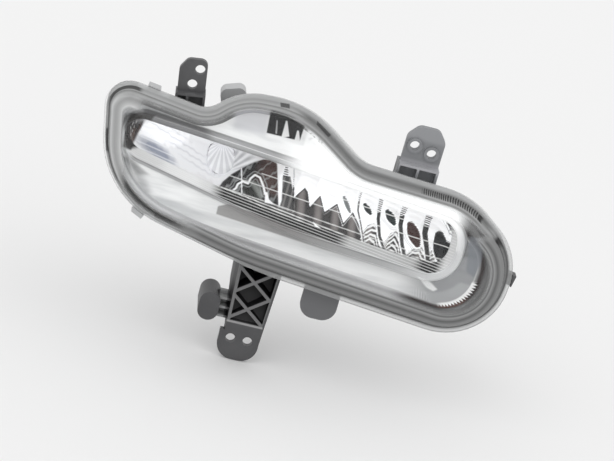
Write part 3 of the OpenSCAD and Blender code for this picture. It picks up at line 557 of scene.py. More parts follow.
rings = [at_depth(lens_line(1, 3.6), -9.5), at_depth(lens_line(1, 3.6), -11.5),
    at_depth(lens_line(1, 6.2), -11.5),
         at_depth(lens_line(1, 6.5, 0.02), -11.3), at_depth(lens_line(1, 6.4, 0.4), -10.5),
         at_depth(lens_line(1, 6.4, 0.5), -9.7),
         at_depth(lens_line(1, 6.4, 0.95), -7.2), at_depth(lens_line(1, 6.4, 1.05), -7),
         at_depth(eye_line(1, 0.5), -7), at_depth(eye_line(1, 0.1), -7.2), at_depth(eye_line(0.86, 0), -10.3),
         at_depth(eye_line(0.8, 0), -11.6), at_depth(eye_line(0.7, 0), -12.3),
         at_depth(eye_line(0.58, 0), -12.5),
         at_depth(eye_line(0.22, 0), -12.5), at_depth(eye_line(0.1, 0), -12.25),
         at_depth(eye_line(0, 0), -11.5)]
for k in range(5):
    rings += [at_depth(eye_line(0, -0.08 - 0.5 * k), -11.4 + 1.8 * k),
        at_depth(eye_line(0, -0.16 - 0.5 * k), -9.8 + 1.8 * k),
              at_depth(eye_line(0, -0.46 - 0.5 * k), -9.65 + 1.8 * k)]
rings += [at_depth(eye_line(0, -2.5), -2.1), at_depth(eye_line(0, -2.3), -2), at_depth(eye_line(0, -1.1), -2),
          at_depth(eye_line(0.1, 0.5), -9.1), at_depth(eye_line(0.55, 0), -10.5),
          at_depth(eye_line(0.9, -0.9), -5),
          at_depth(lens_line(1, 5.5, 0.9), -5), at_depth(lens_line(1, 4.9, 0.5), -8.5),
          at_depth(lens_line(1, 4.9), -9.5)]
bezel = loft("bezel_trim", rings, [float(k) for k in range(len(rings))], closed=True)
f = Finish(bpy.data.materials.new("satin_silver"))
streak = f.grain(9, 4, 0.6, 0.6, (1, 1, 2.6))
long_streak = f.grain(30, 4, 0.6, 0.3, (0.22, 1, 1.3))
fine = f.grain(900, 2)
a, b = f.laid_out()
sheet = f.add("ShaderNodeUVMap", {"uv_map": "run"})
row = f.add("ShaderNodeSeparateXYZ", None, {0: sheet}, out="Y")
run = f.add("ShaderNodeSeparateXYZ", None, {0: sheet}, out="X") * 1000
on_ring = f.between(row, 8.6, 9.4) * (1 - f.between(row, 15.6, 16.2))
in_wall = f.between(row, 15.8, 16.4)
floor_tone = f.tone(f.between(long_streak, 0.36, 0.56), (0.6, 0.61, 0.62), (1, 1, 1))
shadow_tone = f.tone(f.between(long_streak, 0.36, 0.56), (0.07, 0.073, 0.078), (0.3, 0.305, 0.315))
right_end = f.between(a, 76, 104) * (1 - f.between(b - a * 0.6, 22, 34))
top_left = f.between(-a, 60, 74) * f.between(b, 106, 112)
low_left = f.patch([(-102, 95), (-84, 91), (-70, 74), (-84, 62), (-102, 70)], 3)
floor_tone = f.tone(right_end * 0.92, floor_tone, shadow_tone)
floor_tone = f.tone(top_left * 0.85 + low_left * 0.6, floor_tone, shadow_tone)
# Painted light and shade across the skirt's steps, row by row, with a dark brownish band where it rises
# steeply; its left and lower stretches are painted paler for the light there.
skirt = f.add("ShaderNodeValToRGB", {"stops": [((r - 2) / 6, (g, g * k, g * k, 1)) for r, g, k in (
    (2, 0.1, 1), (3, 0.2, 1), (4.6, 0.16, 1), (5, 0.13, 1), (5.35, 0.03, 0.7), (5.6, 0.04, 0.75),
    (5.9, 0.3, 1), (6.6, 0.6, 1), (7, 0.3, 1),
    (8, 0.3, 1))]}, {0: (row - 2) / 6})
skirt = f.tone(f.between(-a, 36, 60) * (1 - f.between(b, 92, 104)) * 0.85, skirt, (0.5, 0.505, 0.51))
skirt = f.tone((1 - f.between(b + a * 0.13, 66, 76)) * (1 - f.between(a, 74, 92)) * 0.82, skirt,
    f.tone(streak, (0.45, 0.45, 0.46), (0.8, 0.8, 0.81)))
floor_tone = f.tone(1 - f.between(row, 6.9, 7.02), floor_tone, skirt)
rib_wave = (run * (2 * math.pi / 1.3)).math("SINE")
fan_zone = f.between(a, 84, 94) * f.between(66 - b, 0, 2)
ribs = fan_zone * f.between(rib_wave, -0.1, 0.4) * f.between(row, 6.9, 7) * (1 - f.between(row, 7.4, 7.6))
floor_tone = f.tone(ribs * 0.6, floor_tone, (0.75, 0.75, 0.76))
# Teeth along the skirt's lower right: painted shade under them in dark brown, and a painted white highlight
# along their edge.
saw = 6.02 - (run / 1.25).math("PINGPONG", 1) * 0.6
saw_zone = f.between(a, 104, 109) * f.between(68 - b, 0, 2)
shade_under_saw = saw_zone * f.between(row, 5.1, 5.35) * (1 - f.between(row, 5.7, 6)) * (1 - f.between(a, 119, 123))
floor_tone = f.tone(shade_under_saw, floor_tone, (0.07, 0.026, 0.016))
floor_tone = f.tone(saw_zone * f.between(row - saw, -0.02, 0.03) * (1 - f.between(row, 7, 7.06)), floor_tone,
    (1, 1, 1))
# Ring: satin grey with painted shading across its rounded face, row by row, and a bright painted highlight
# line; painted paler where lit at its right and left ends, and painted darker in shade at its upper left.
ring_tones = [(8, 0.12), (8.8, 0.2), (9.6, 0.42), (11.4, 0.5), (12.1, 0.9), (12.6, 0.44), (13.4, 0.4),
    (14.2, 0.36), (15.1, 0.24), (15.7, 0.6), (17, 0.7)]
ring_grey_and_shading = f.add("ShaderNodeValToRGB",
    {"stops": [((r - 8) / 9, (g, g, g * 1.01, 1)) for r, g in ring_tones]}, {0: (row - 8) / 9})
left_end = f.between(-a, 84, 90) * f.between(b, 88, 94) * (1 - f.between(b, 104, 112))
ring_grey_and_shading = f.tone(f.between(a, 60, 112) * 0.7 + left_end * 0.9, ring_grey_and_shading, (0.78, 0.785, 0.79))
ring_grey_and_shading = f.tone(f.patch([(-96, 128), (-52, 124), (-44, 112), (-92, 106)], 3) * 0.7, ring_grey_and_shading,
    (0.15, 0.15, 0.155))
# Stepped inner wall: painted light and shade, with lit and dark lines along the steps, paler where painted
# light falls on it, and near-black painted shade at its upper left.
lined = f.between(((b + a * 0.14) * (2 * math.pi / 1.75)).math("SINE"), 0.25, 0.75)
wall_painted_light = f.between(-a, 30, 40) + f.between(a, 38, 48) * (1 - f.between(a, 84, 92)) * 0.6
wall_painted_light = wall_painted_light + f.between(a, 98, 104) * 0.8
wall_light_and_shade = f.tone(lined, (0.02, 0.02, 0.02), (0.55, 0.55, 0.55))
wall_light_and_shade = f.tone(wall_painted_light, wall_light_and_shade, (0.9, 0.9, 0.9))
wall_light_and_shade = f.tone(f.patch([(-98, 125), (-50, 121), (-87, 97), (-98, 98)], 1.5), wall_light_and_shade,
    f.tone(lined, (0.008, 0.007, 0.007), (0.2, 0.19, 0.18)))
colour = f.tone(on_ring, floor_tone, ring_grey_and_shading)
colour = f.tone(in_wall, colour, wall_light_and_shade)
# Painted patches of shade, highlight and reflection: near-black shade at the left end of the wall, a
# near-black block with pale slivers by the hump, a white highlight low on the right, and grey tones between.
for corners, blur, depth, tone in (
        ([(-36.5, 136.5), (-17.3, 139.6), (-15.8, 122.8), (-35.1, 123.3)], 2.4, 0.55, (0.55, 0.55, 0.59)),
        ([(-92.3, 97), (-94.2, 110.5), (-92.6, 117), (-86, 118), (-85.5, 107), (-87.5, 96)], 0.8, 0.93,
        (0.02, 0.017, 0.016)),
        ([(-93, 116), (-87.5, 119.8), (-79, 119.8), (-81, 115.5), (-91, 111)], 0.8, 0.85,
        (0.04, 0.037, 0.036)),
        ([(-17.2, 139), (-8.3, 138.6), (3.6, 134.5), (3.2, 125.3), (-16.2, 125.3)], 0.4, 0.99,
        (0.012, 0.012, 0.013)),
        ([(-12.6, 134), (-11.9, 134), (-10.3, 126.2), (-11.3, 126.2)], 0.2, 0.8, (0.5, 0.5, 0.5)),
        ([(-7.4, 135), (-6.6, 135), (-3.2, 126.4), (-7.4, 124.6)], 0.3, 0.95, (0.9, 0.9, 0.9)),
        ([(0.2, 131), (1.2, 131), (3.4, 125), (0.2, 124.6)], 0.3, 0.95, (0.9, 0.9, 0.9)),
        ([(90.5, 62.4), (98, 61.3), (103.4, 57.7), (101.4, 56), (97, 57.2)], 0.7, 0.95, (1, 1, 1)),
        ([(-96.2, 94), (-88, 91.5), (-73.6, 84.4), (-80, 83)], 1.2, 0.6, (0.2, 0.2, 0.2)),
        ([(112.5, 94), (120.5, 94), (123.4, 80), (121.6, 70), (116.2, 73)], 1, 0.8, (0.24, 0.255, 0.28))):
    colour = f.tone(f.patch(corners, blur) * depth, colour, tone)
# A dark painted strip along the lower edge of the opening, fading towards the right.
strip = f.patch([(-31.7, 75.8), (-26, 78.6), (62, 68.4), (60.4, 62.8), (-31.6, 70.9)],
    0.5) * (0.75 - f.between(a, 0, 60) * 0.7)
colour = f.tone(strip, colour, (0.2, 0.19, 0.185))
glare = f.between(a, -10, 16) * f.between(b + a * 0.12, 94, 98) * (1 - f.between(a, 100, 112))
glare = glare * (1 - f.between(row, 15.8, 17)) * (1
    - f.patch([(-20, 141), (6, 137), (6, 123), (-20, 123)], 1))
sparkle = f.patch([(3.3, 133.9), (11.9, 132.5), (17.6, 126.6), (16.7, 123.3), (7.4, 127.6)],
    1) * f.between(f.grain(420, 3), 0.5, 0.56)
glare = glare * (1 - sparkle * 0.8)
colour = f.tone(glare, colour, (1, 1, 1))
# Emission makes the trim glow faintly in its own colour and the glare patch glow white: painted light, not a
# lamp.
dress(bezel, f.surface(f.add("ShaderNodeBsdfPrincipled", None, {
    "Base Color": colour, "Metallic": 0.3, "Roughness": on_ring * 0.12 + streak * 0.16 + 0.14,
    "Emission Color": f.tone(glare, f.tone(0.6, colour, (0, 0, 0)), (1, 1, 1)), "Emission Strength": 0.35,
    "Specular IOR Level": 0.3,
    "Normal": f.bump(fine, 0.01 * mm, 0.2)})))
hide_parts("bezel")


# Reflector. A moulding with a vacuum-deposited aluminium face: a smooth bowl round the bulb, and
# upright hollow flutes in three rows that spread the light. Four ears carry it on the housing.
flute_start, flute_end, flute_count, flute_growth = -9.0, 100.5, 9, 0.06
bowl_start = -91.1
flute_total = flute_count * (1 + flute_growth * (flute_count - 1) / 2)
reach_line = eye_line(0, -2.6)


def flute_edge(k):
    return flute_start + (flute_end - flute_start) * k * (1 + flute_growth * (k - 1) / 2) / flute_total


def opening_span(x):
    hits = []
    for a, b in zip(reach_line, reach_line[1:] + reach_line[:1]):
        if (a.x <= x) != (b.x <= x):
            hits.append(a.y + (b.y - a.y) * (x - a.x) / (b.x - a.x))
    return min(hits), max(hits)


def flute_place(x):
    """Number of the flute at x, with the share of its width."""
    k = max(n for n in range(flute_count) if flute_edge(n) <= x)
    return k + (x - flute_edge(k)) / (flute_edge(k + 1) - flute_edge(k))


def hollow(x, v):
    fade = 0.12 + 0.88 * math.sin(math.pi / 2 * max(0, min(1, (x - bowl_start) / 26, (flute_end - x) / 14)))
    side = 1 - (2 * v - 1) ** 2
    depth = 24 if x < flute_start else 24 - 7 * (x - flute_start) / (flute_end - flute_start)
    relief = 0
    if x > flute_start:
        u = flute_place(x) % 1
        w = (3 * v) % 1
        relief = min(1, 2 * side) * (2.2 * 4 * u * (1 - u) + 1.2 * 4 * w * (1 - w))
    return fade * side * depth + relief


def mix(a, b, share):
    share = max(0.0, min(1.0, share))
    return tuple(p + (q - p) * share for p, q in zip(a, b))


def ramp(value, low, high):
    return max(0.0, min(1.0, (value - low) / (high - low)))


def beside(p, line):
    """Distance of p from a line of points, how far along it lies (0 to 1), and on which side."""
    best = (1e9, 0, 0)
    for i, (a, b) in enumerate(zip(line, line[1:])):
        dx, dz = b[0] - a[0], b[1] - a[1]
        s = max(0.0, min(1.0, ((p[0] - a[0]) * dx + (p[1] - a[1]) * dz) / (dx * dx + dz * dz)))
        off = math.hypot(p[0] - a[0] - s * dx, p[1] - a[1] - s * dz)
        if off < best[0]:
            best = (off, (i + s) / (len(line) - 1), (p[0] - a[0]) * dz - (p[1] - a[1]) * dx)
    return best


def height_of(line, x):
    """Height at x of a line that runs from left to right."""
    for a, b in zip(line, line[1:]):
        if a[0] <= x <= b[0]:
            return a[1] + (b[1] - a[1]) * (x - a[0]) / (b[0] - a[0])
    return -1e9


def inside(p, outline, blur=0.3):
    """1 well inside an outline and 0 outside it."""
    odd = False
    for a, b in zip(outline, outline[1:] + outline[:1]):
        if (a[1] > p[1]) != (b[1] > p[1]) and p[0] < a[0] + (b[0] - a[0]) * (p[1] - a[1]) / (b[1] - a[1]):
            odd = not odd
    off = beside(p, outline + outline[:1])[0]
    return ramp(off if odd else -off, -blur, blur)


white, black, brown, ash = (0.96, 0.96, 0.97), (0.01, 0.01, 0.011), (0.07, 0.04, 0.035), (0.34, 0.35, 0.35)
lip = [(-37.1, 83.2), (-20.1, 80.7), (4.3, 77.6), (29.1, 73.3), (53.6, 70.4), (77.9, 68.7), (99.1, 67.8),
    (112, 67.8)]
dome = [(-35.4, 81.2), (-34.9, 84.7), (-32.8, 90.9), (-28.9, 96.7), (-23.9, 101.8), (-18.8, 106.4),
    (-13.8, 109.6),
        (-9, 110.1), (-5.6, 109), (-2, 99), (1.2, 88), (3.8, 75.1), (-6, 76.2), (-19.4, 78.1), (-30.4, 79.9)]
wave = [(-26, 87), (-24.5, 89), (-24.1, 91.6), (-21.7, 93.8), (-18.6, 93.3), (-18, 96.6), (-16.1, 99.3),
    (-13, 98.5),
        (-9.8, 94), (-7.7, 89.6)]
socket = [(-21.5, 92.4), (-18.1, 95.2), (-13.5, 95.8), (-9.9, 92.4), (-8.2, 88.3), (-9.8, 84), (-15.4, 83.2),
    (-19.6, 85.9)]
wedge = [(-34.8, 83.2), (-27.6, 82.6), (-7.5, 82.4), (9.2, 81.6), (17.4, 79.3), (39.8, 77.3), (36.7, 73.4),
    (16.6, 75.8),
         (-6.3, 77.4), (-32.5, 78.8)]
first_flute = [(-0.8, 103), (3.7, 103.4), (7, 95.8), (10.6, 86.7), (11, 80), (2, 80), (2.4, 88.3)]
zigzag = [(4.7, 80.8), (9.8, 93.5), (13.3, 99), (15.6, 96.9), (18.9, 88.3), (23, 96.7), (27.9, 87.5),
    (33.6, 94.3),
          (40.1, 83.7), (43.6, 91.5), (52.1, 81.2), (54, 86), (57, 88), (60, 86.5), (63, 81), (65.8, 78),
          (67.5, 84),
          (70.5, 87.5), (74, 85), (77, 78.6), (80, 75.5), (83, 79), (87, 81), (91, 77), (93, 80), (97, 85),
          (103, 85), (108, 78)]
dash_columns = (
    ([(45.1, 104.5), (45.1, 99.5), (46, 93.4), (50.7, 83.9), (54.7, 74.5)], 0.7, 0.3),
    ([(57.3, 103), (57.7, 97.1), (58.7, 91.1), (62.2, 81.2), (66.5, 74.4)], 1.35, 0.34),
    ([(71.8, 102.4), (71.3, 97.5), (72, 90.7), (76, 79.7), (80.2, 71.2)], 1.7, 0.3),
    ([(86.6, 100.9), (86.3, 95.7), (86.8, 89.5), (90.1, 81.5), (93.5, 72.7)], 2.2, 0.3))
drops = (
    ((36.2, 99.1), (41.9, 91.1), 1.3, (0.16, 0.17, 0.17)),
    ((48.9, 97.6), (53.6, 93), 1.7, (0.02, 0.025, 0.025)),
    ((62.6, 96.8), (68.2, 90.6), 2.4, (0.015, 0.022, 0.022)),
    ((77.4, 92.4), (84.6, 81.6), 3.5, (0.04, 0.02, 0.018)),
    ((95.2, 90.4), (101.4, 74.6), 4.4, (0.008, 0.009, 0.01)))
end_wall = [(-89.2, 92), (-93.4, 103.4), (-91.2, 118), (-84, 121)]
row_lines = (
    [(-12.5, 101.1), (3.6, 99.7), (28.2, 98.3), (53.6, 96), (76.7, 94.1), (98.4, 93.1)],
    [(-32.7, 95.6), (-6.4, 93.2), (18.4, 91), (56.3, 87.4), (82.1, 85.4), (101.5, 84.4)],
    [(-32.9, 87.4), (-2.1, 84.9), (26.7, 81.9), (59.5, 78.8), (84.6, 76.5), (103.3, 76.2)])
sparks = (
    [(-7.9, 90.8), (-6.6, 90.8), (-4.7, 86.9), (-0.9, 84.8), (-6.5, 84.6)],
    [(0.6, 75.7), (1.7, 78.5), (3.1, 76.4)],
    [(23.1, 80), (26.5, 78.3), (32.1, 75.3), (37.8, 73.7), (35.2, 72.4), (27.6, 74.2)],
    [(-5.7, 109.4), (-2.9, 110.4), (0.5, 94.2), (2.1, 85.2), (1.4, 85.1)])
end_strokes = (
    [(99.1, 97.7), (103.2, 91.8), (105.4, 87.3)],
    [(101.7, 94), (104.8, 89.7), (107.4, 84.7), (107.9, 79), (106.8, 72.4), (102.1, 67.9)],
    [(103.3, 82.3), (105.8, 79.8), (106, 76), (103.1, 77.8)], [(96.5, 100), (101.2, 94.8), (103.6, 90)])


def mirrored(p):
    """Tone painted for what bowl and flutes mirror in the photo, at a place laid out from the camera."""
    a, b = p
    ripple = 0.5 * math.sin(a * 1.7 + b * 0.31) + 0.5 * math.sin(a * 0.63 - b * 0.52)
    tone = mix((0.72, 0.72, 0.73), white, ramp(a, -30, 5))
    if a < 0:
        tone = mix(tone, white, 0.9 * (1
            - ramp(math.hypot((a + 74) / 16, (b - 110) / 6) + 0.2 * ripple, 0.7, 1.2)))
        patch = math.hypot((a + 73) / 13, (b - 99 + 0.42 * (a + 73)) / 5)
        tone = mix((0.24, 0.26, 0.32), tone, ramp(patch + 0.06 * ripple, 0.5, 1.15))
        combed = ramp(math.sin((b + 0.36 * a) * 1.7 + 0.8 * ripple), 0.2,
            1) * ramp(math.sin(a * 0.19 + b * 0.3), -0.5, 0.6)
        tone = mix(tone, (0.42, 0.42, 0.45), 0.45 * combed * ramp(-a, 36, 44))
        rays = 0.5 + 0.5 * math.sin(26 * math.atan2(b - 96, a + 34))
        tone = mix(tone, (0.3, 0.3, 0.32),
            0.75 * rays * ramp(1 - math.hypot((a + 27) / 15, (b - 106) / 9), 0, 0.6))
        pool = math.hypot((a + 50) / 13, (b - 88) / 4.5)
        tone = mix(tone, (0.62, 0.6, 0.61), 0.55 * (1 - ramp(pool + 0.25 * ripple, 0.6, 1.1)))
        tone = mix(tone, (0.72, 0.73, 0.75),
            0.6 * ramp(math.sin(b * 1.9 + a * 0.35), 0.55, 1) * ramp(-a, 40, 60))
        off = beside(p, end_wall)[0]
        dark = mix((0.008, 0.006, 0.006), (0.06, 0.03, 0.02), ramp(b, 112, 98) + 0.4 * ripple)
        dark = mix(dark, (0.3, 0.29, 0.28), ramp(math.sin(off * 4.2), 0.72, 1) * ramp(5 - off, 0, 1))
        tone = mix(tone, dark, inside(p,
            [(-98, 93.5), (-88.4, 93.5), (-86.6, 104 + ripple), (-82.5 + ripple, 122), (-98, 124)], 0.6))
    zig = height_of(zigzag, a)
    above_lip = b - height_of(lip, a)
    if b < zig + 1:
        depth = zig - b
        body = mix((0.03, 0.028, 0.028), (0.17, 0.155, 0.15),
            ramp(math.sin(a * 0.62 + 1.2 + b * 0.12), -0.2, 1))
        body = mix(body, black, ramp(1.6 - depth, 0, 0.8))
        if a > 24:
            edge = ramp(1 - abs(depth - 1.9 - 0.35 * ripple) / 0.5, 0, 1)
            body = mix(body, white, 0.85 * edge * ramp(a, 24, 40))
        if a > 52:
            waves = 0.5 + 0.5 * math.sin(depth * 2 + 1.3 * math.sin(a * 0.55) + 0.7 * ripple)
            body = mix(body, (0.85, 0.85, 0.85), 0.9 * ramp(waves, 0.4, 0.7))
        tone = mix(tone, body, ramp(depth, -0.25, 0.25))
    if -0.8 < a < 11.5:
        body = mix((0.05, 0.05, 0.05), (0.16, 0.155, 0.15), ramp(math.sin(a * 1.9 + 0.5), 0, 1))
        tone = mix(tone, body, inside(p, first_flute))
        col = beside(p, [(-0.9, 109.2), (0.9, 103.2)])
        tone = mix(tone, black, ramp(1.7 - col[0], 0, 0.4) * ramp(math.sin(b * 4.9), -0.2, 0.3))
        col = beside(p, [(4.4, 108.3), (7.1, 97.2), (10.2, 84.2)])
        tone = mix(tone, black, ramp(0.55 - col[0], 0, 0.3)
            * (ramp(math.sin(b * 5.5), -0.1, 0.4) if b > 98 else 1))
    if a < 5:
        body = mix(black, brown, 0.8 * ramp(a, -18, -12) * ramp(b, 88, 92))
        body = mix(body, ash, 0.5 * ramp(math.sin(a * 0.9 - b * 0.6 + ripple), 0.7, 1))
        well = inside(p, socket, 0.5)
        body = mix(body, mix((0.03, 0.032, 0.03), (0.2, 0.21, 0.2), ramp(math.sin((a + b) * 0.5), 0, 1)),
            well)
        off = beside(p, wave)[0]
        body = mix(body, white, 0.9 * ramp(0.75 - off, 0, 0.35))
        body = mix(body, ash, 0.8 * ramp(1 - abs(off - 2) / 0.5, 0, 1))
        body = mix(body, white, 0.9 * ramp(0.4 - beside(p, [(-24.6, 101.7), (-20, 84.5)])[0], 0, 0.25))
        tone = mix(tone, body, inside(p, dome))
    for top, low, half, shade in drops:
        if abs(a - (top[0] + low[0]) / 2) < 12:
            off, share, side = beside(p, [top, low])
            wide = half * math.sin(math.pi * (0.2 + 0.62 * share))
            if side < 0:
                wide += 0.22 * math.sin(b * 5)
            for gap in (1.3, 2.3):
                tone = mix(tone, ash, 0.8 * ramp(1 - abs(off - wide - gap) / 0.4, 0, 1)
                    * ramp(half, 1.5, 2.5) * ramp(share, 0, 0.4))
            tone = mix(tone, white, 0.9 * ramp(wide + 0.7 - off, 0, 0.3))
            tone = mix(tone, shade, ramp(wide - off, -0.15, 0.25))
    for line, half, dashed in dash_columns:
        if abs(a - line[2][0]) < 15:
            off, share, side = beside(p, line)
            wide = half * (1 - 0.45 * share)
            tone = mix(tone, white, 0.9 * ramp(wide + 0.8 - off, 0, 0.4) * (1 if side > 0 else 0.2))
            dark = ramp(math.sin(b * 5.2 + a * 0.8), -0.35, 0.1) if share < dashed else 1
            tone = mix(tone, (0.03, 0.03, 0.03), dark * ramp(wide - off, -0.1, 0.25))
    for line in end_strokes:
        if a > 94:
            off, share, side = beside(p, line)
            tone = mix(tone, (0.03, 0.03, 0.035), 0.9 * ramp(0.55 - off, 0, 0.3))
            tone = mix(tone, (0.2, 0.2, 0.21), 0.7 * ramp(1 - abs(off - 1.7) / 0.3, 0, 1))
    if a < 42:
        tone = mix(tone, black, inside(p, wedge))
    if above_lip < 7:
        lines = 0.5 + 0.5 * math.sin((b + a * 0.14) * 2 * math.pi / 1.75)
        depth = ramp(6.5 - above_lip, 0, 1.5) * ramp(a, -36, -30)
        tone = mix(tone, mix((0.02, 0.02, 0.02), (0.72, 0.72, 0.71), ramp(lines, 0.5, 0.85)),
            depth * (0.95 if a < 42 or a > 90 else 0.6))
    for line in row_lines:
        tone = mix(tone, (0.7, 0.7, 0.69), 0.8 * ramp(0.42 - beside(p, line)[0], 0, 0.25))
    for outline in sparks:
        if abs(a - outline[0][0]) < 20:
            tone = mix(tone, white, inside(p, outline))
    return tone


columns, rows = 420, 110
made = bmesh.new()
bmesh.ops.create_grid(made, x_segments=columns, y_segments=rows, size=0.5)
shine = made.verts.layers.float_color.new("shine")
height_share = {}
for v in made.verts:
    run, rise = v.co.x + 0.5, v.co.y + 0.5
    rise = rise / 1.4 if rise < 0.7 else 0.5 + (rise - 0.7) / 0.6
    x = bowl_start + (flute_end - bowl_start) * run
    low, high = opening_span(x)
    height_share[v] = rise
    spot = Vector((x, -2 + hollow(x, rise), low + (high - low) * rise))
    v.co = spot * mm
    ray = spot - camera_place
    flat = camera_place + ray * (-camera_place.y / ray.y)
    v[shine] = (*mirrored((flat.x, flat.z)), 1)
for face in made.faces:
    face.smooth = True
bulb_axis, bulb_bore = Vector((-36, 99)), 8.5
cut_away = []
for v in made.verts:
    off = Vector((v.co.x, v.co.z)) / mm - bulb_axis
    if off.length < bulb_bore - 0.3:
        cut_away.append(v)
    elif off.length < bulb_bore + 0.3:
        to = bulb_axis + off.normalized() * bulb_bore
        v.co.x, v.co.z = to.x * mm, to.y * mm
bmesh.ops.delete(made, geom=cut_away, context="VERTS")
bore = [e for e in made.edges if e.is_boundary and min(abs(height_share[v] - 0.5) for v in e.verts) < 0.49
       and bowl_start + 1 < e.verts[0].co.x / mm < flute_end - 1]
border = [e for e in made.edges if e.is_boundary and e not in set(bore)]
grown = bmesh.ops.extrude_edge_only(made, edges=border)["geom"]
for v in [g for g in grown if isinstance(g, bmesh.types.BMVert)]:
    x, z = v.co.x / mm, v.co.z / mm
    low, high = opening_span(max(bowl_start, min(flute_end, x)))
    out = 4 * min(1, 0.3 + (x - bowl_start) / 30)
    v.co.z += (out if z > high - 0.01 else -out if z < low + 0.01 else 0) * mm
    v.co.x += (4 if x > flute_end - 0.01 else -2 if x < bowl_start + 0.01 else 0) * mm
    v.co.y = -2 * mm
grown = bmesh.ops.extrude_edge_only(made, edges=bore)["geom"]
for v in [g for g in grown if isinstance(g, bmesh.types.BMVert)]:
    off = Vector((v.co.x, v.co.z)) / mm - bulb_axis
    to = bulb_axis + off.normalized() * (bulb_bore - 0.9)
    v.co = Vector((to.x * mm, v.co.y + 4 * mm, to.y * mm))
    v[shine] = (0.7, 0.7, 0.72, 1)
bmesh.ops.recalc_face_normals(made, faces=made.faces)
if sum(face.normal.y for face in made.faces) > 0:
    bmesh.ops.reverse_faces(made, faces=made.faces)
reflector = bpy.data.objects.new("reflector_face", bpy.data.meshes.new("reflector_face"))
made.to_mesh(reflector.data)
made.free()
bpy.context.scene.collection.objects.link(reflector)
wall = reflector.modifiers.new("wall", "SOLIDIFY")
wall.thickness = 1.8 * mm
wall.offset = -1
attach(reflector, "root")
made = bmesh.new()
for x, z in ((-48, 77), (58, 60), (-16.5, 129.2), (121, 86)):
    centre = Vector((x, z))
    foot = min(eye_line(0, 1), key=lambda p: (p - centre).length)
    reach = (foot - centre).length
    turn = math.atan2(foot.y - z, foot.x - x)
    ring = [made.verts.new(Vector((x + r, y, z)) * mm) for r, y in ((2.2, -2), (5, -2), (5, 0), (2.2, 0))]
    sides = [made.edges.new((ring[i - 1], ring[i])) for i in range(4)]
    bmesh.ops.spin(made, geom=ring + sides, cent=Vector((x, 0, z)) * mm, axis=(0, 1, 0), angle=2 * math.pi,
        steps=40, use_merge=True)
    middle = centre.lerp(foot, (4.6 + reach) / 2 / reach)
    bmesh.ops.create_cube(made, size=1,
        matrix=Matrix.Translation(Vector((middle.x, -1, middle.y)) * mm) @ Matrix.Rotation(
        -turn, 4, "Y") @ Matrix.Diagonal(((reach - 4.6) * mm, 2 * mm, 8 * mm, 1)))
bmesh.ops.recalc_face_normals(made, faces=made.faces)
ears = bpy.data.objects.new("reflector_ears", bpy.data.meshes.new("reflector_ears"))
made.to_mesh(ears.data)
made.free()
bpy.context.scene.collection.objects.link(ears)
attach(ears, "root")
f = Finish(bpy.data.materials.new("plain_aluminium"))
dress(ears, f.surface(f.add("ShaderNodeBsdfPrincipled", None, {
    "Base Color": f.tone(f.grain(60, 3), (0.6, 0.6, 0.62), (0.78, 0.78, 0.8)), "Metallic": 0.9,
    "Roughness": f.grain(90) * 0.2 + 0.2})))
# The reflector's colour is the painted reflection kept in shine, and its emission makes that painted
# reflection glow.
f = Finish(bpy.data.materials.new("aluminium_painted_reflection"))
tone = f.add("ShaderNodeAttribute", {"attribute_name": "shine"}, out="Color")
cloud = f.grain(14, 4, 0.5, 0.5)
dress(reflector, f.surface(f.add("ShaderNodeBsdfPrincipled", None, {
    "Base Color": tone, "Metallic": 0.1, "Roughness": cloud * 0.1 + 0.12, "Specular IOR Level": 0.3,
    "Emission Color": tone, "Emission Strength": 0.38})))
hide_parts("reflector")


# Reflector screws, bulb, holder and breather. Bought and moulded parts that close the lamp behind.
def plain_metal(name, dark, pale, rough):
    f = Finish(bpy.data.materials.new(name))
    cloud = f.grain(180, 4, 0.6)
    scratch = f.grain(700, 2, 0.5, 0, (1, 0.15, 1))
    return f.surface(f.add("ShaderNodeBsdfPrincipled", None, {
        "Base Color": f.tone(cloud, dark, pale), "Metallic": 1.0, "Roughness": cloud * 0.2 + (rough - 0.1),
        "Normal": f.bump(scratch, 0.01 * mm, 0.3)}))


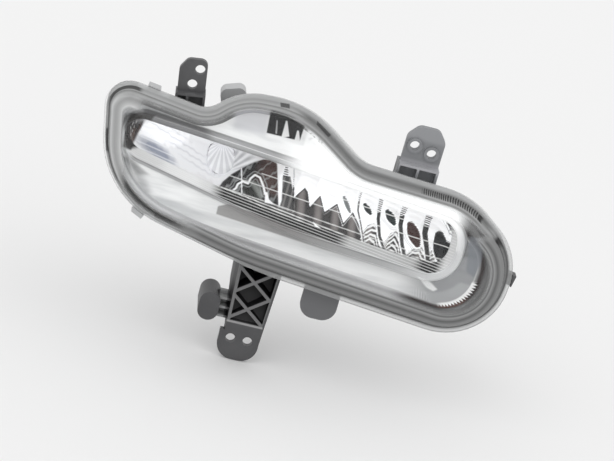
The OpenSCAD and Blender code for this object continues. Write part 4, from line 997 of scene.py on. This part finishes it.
dress(nodes["reflector_screws"], plain_metal("zinc_plate", (0.42, 0.42, 0.44), (0.62, 0.62, 0.64), 0.35))
dress(nodes["bulb_filament"], plain_metal("tungsten", (0.2, 0.2, 0.21), (0.35, 0.35, 0.36), 0.4))
dress(nodes["bulb_leads"], plain_metal("nickel_wire", (0.45, 0.45, 0.46), (0.62, 0.62, 0.63), 0.3))
for name in ("live_terminal", "ground_terminal"):
    dress(nodes[name], plain_metal(name + "_brass", (0.5, 0.34, 0.14), (0.68, 0.5, 0.24), 0.3))
# Bulb glass: a fan of painted reflection streaks, and emission that makes the glass glow faintly as painted
# light.
f = Finish(bpy.data.materials.new("bulb_glass_clear"))
a, b = f.laid_out()
fan = f.between(((a + 38.5).math("ARCTAN2", 114 - b) * 26).math("SINE"), -0.3, 0.7)
glass_edge = f.add("ShaderNodeLayerWeight", None, {"Blend": 0.5}, out="Facing")
dress(nodes["bulb_glass"], f.surface(f.blend(
    glass_edge * 0.1 + 0.82,
    f.add("ShaderNodeBsdfTransparent", None, {"Color": (0.97, 0.975, 0.98, 1)}),
    f.add("ShaderNodeBsdfPrincipled", None, {
        "Base Color": f.tone(fan, (0.66, 0.66, 0.68), (0.78, 0.78, 0.8)), "Roughness": 0.12,
        "Emission Color": f.tone(fan, (0.66, 0.66, 0.69), (1, 1, 1)), "Emission Strength": 0.28}))))
for node, name, dark, pale, rough in (
        ("bulb_holder", "holder_black", (0.012, 0.012, 0.013), (0.022, 0.022, 0.023), 0.5),
        ("holder_seal", "silicone_red", (0.28, 0.07, 0.035), (0.36, 0.1, 0.05), 0.55),
        ("vent_cap", "rubber_black", (0.018, 0.018, 0.018), (0.03, 0.03, 0.03), 0.7),
        ("vent_membrane", "felt_white", (0.6, 0.6, 0.58), (0.78, 0.78, 0.76), 0.9)):
    f, grain, cloud, colour, gloss = moulded(name, dark, pale, 0.6, rough)
    dress(nodes[node], f.surface(f.add("ShaderNodeBsdfPrincipled", None, {
        "Base Color": colour, "Roughness": gloss, "Normal": f.bump(grain, 0.03 * mm, 0.4)})))
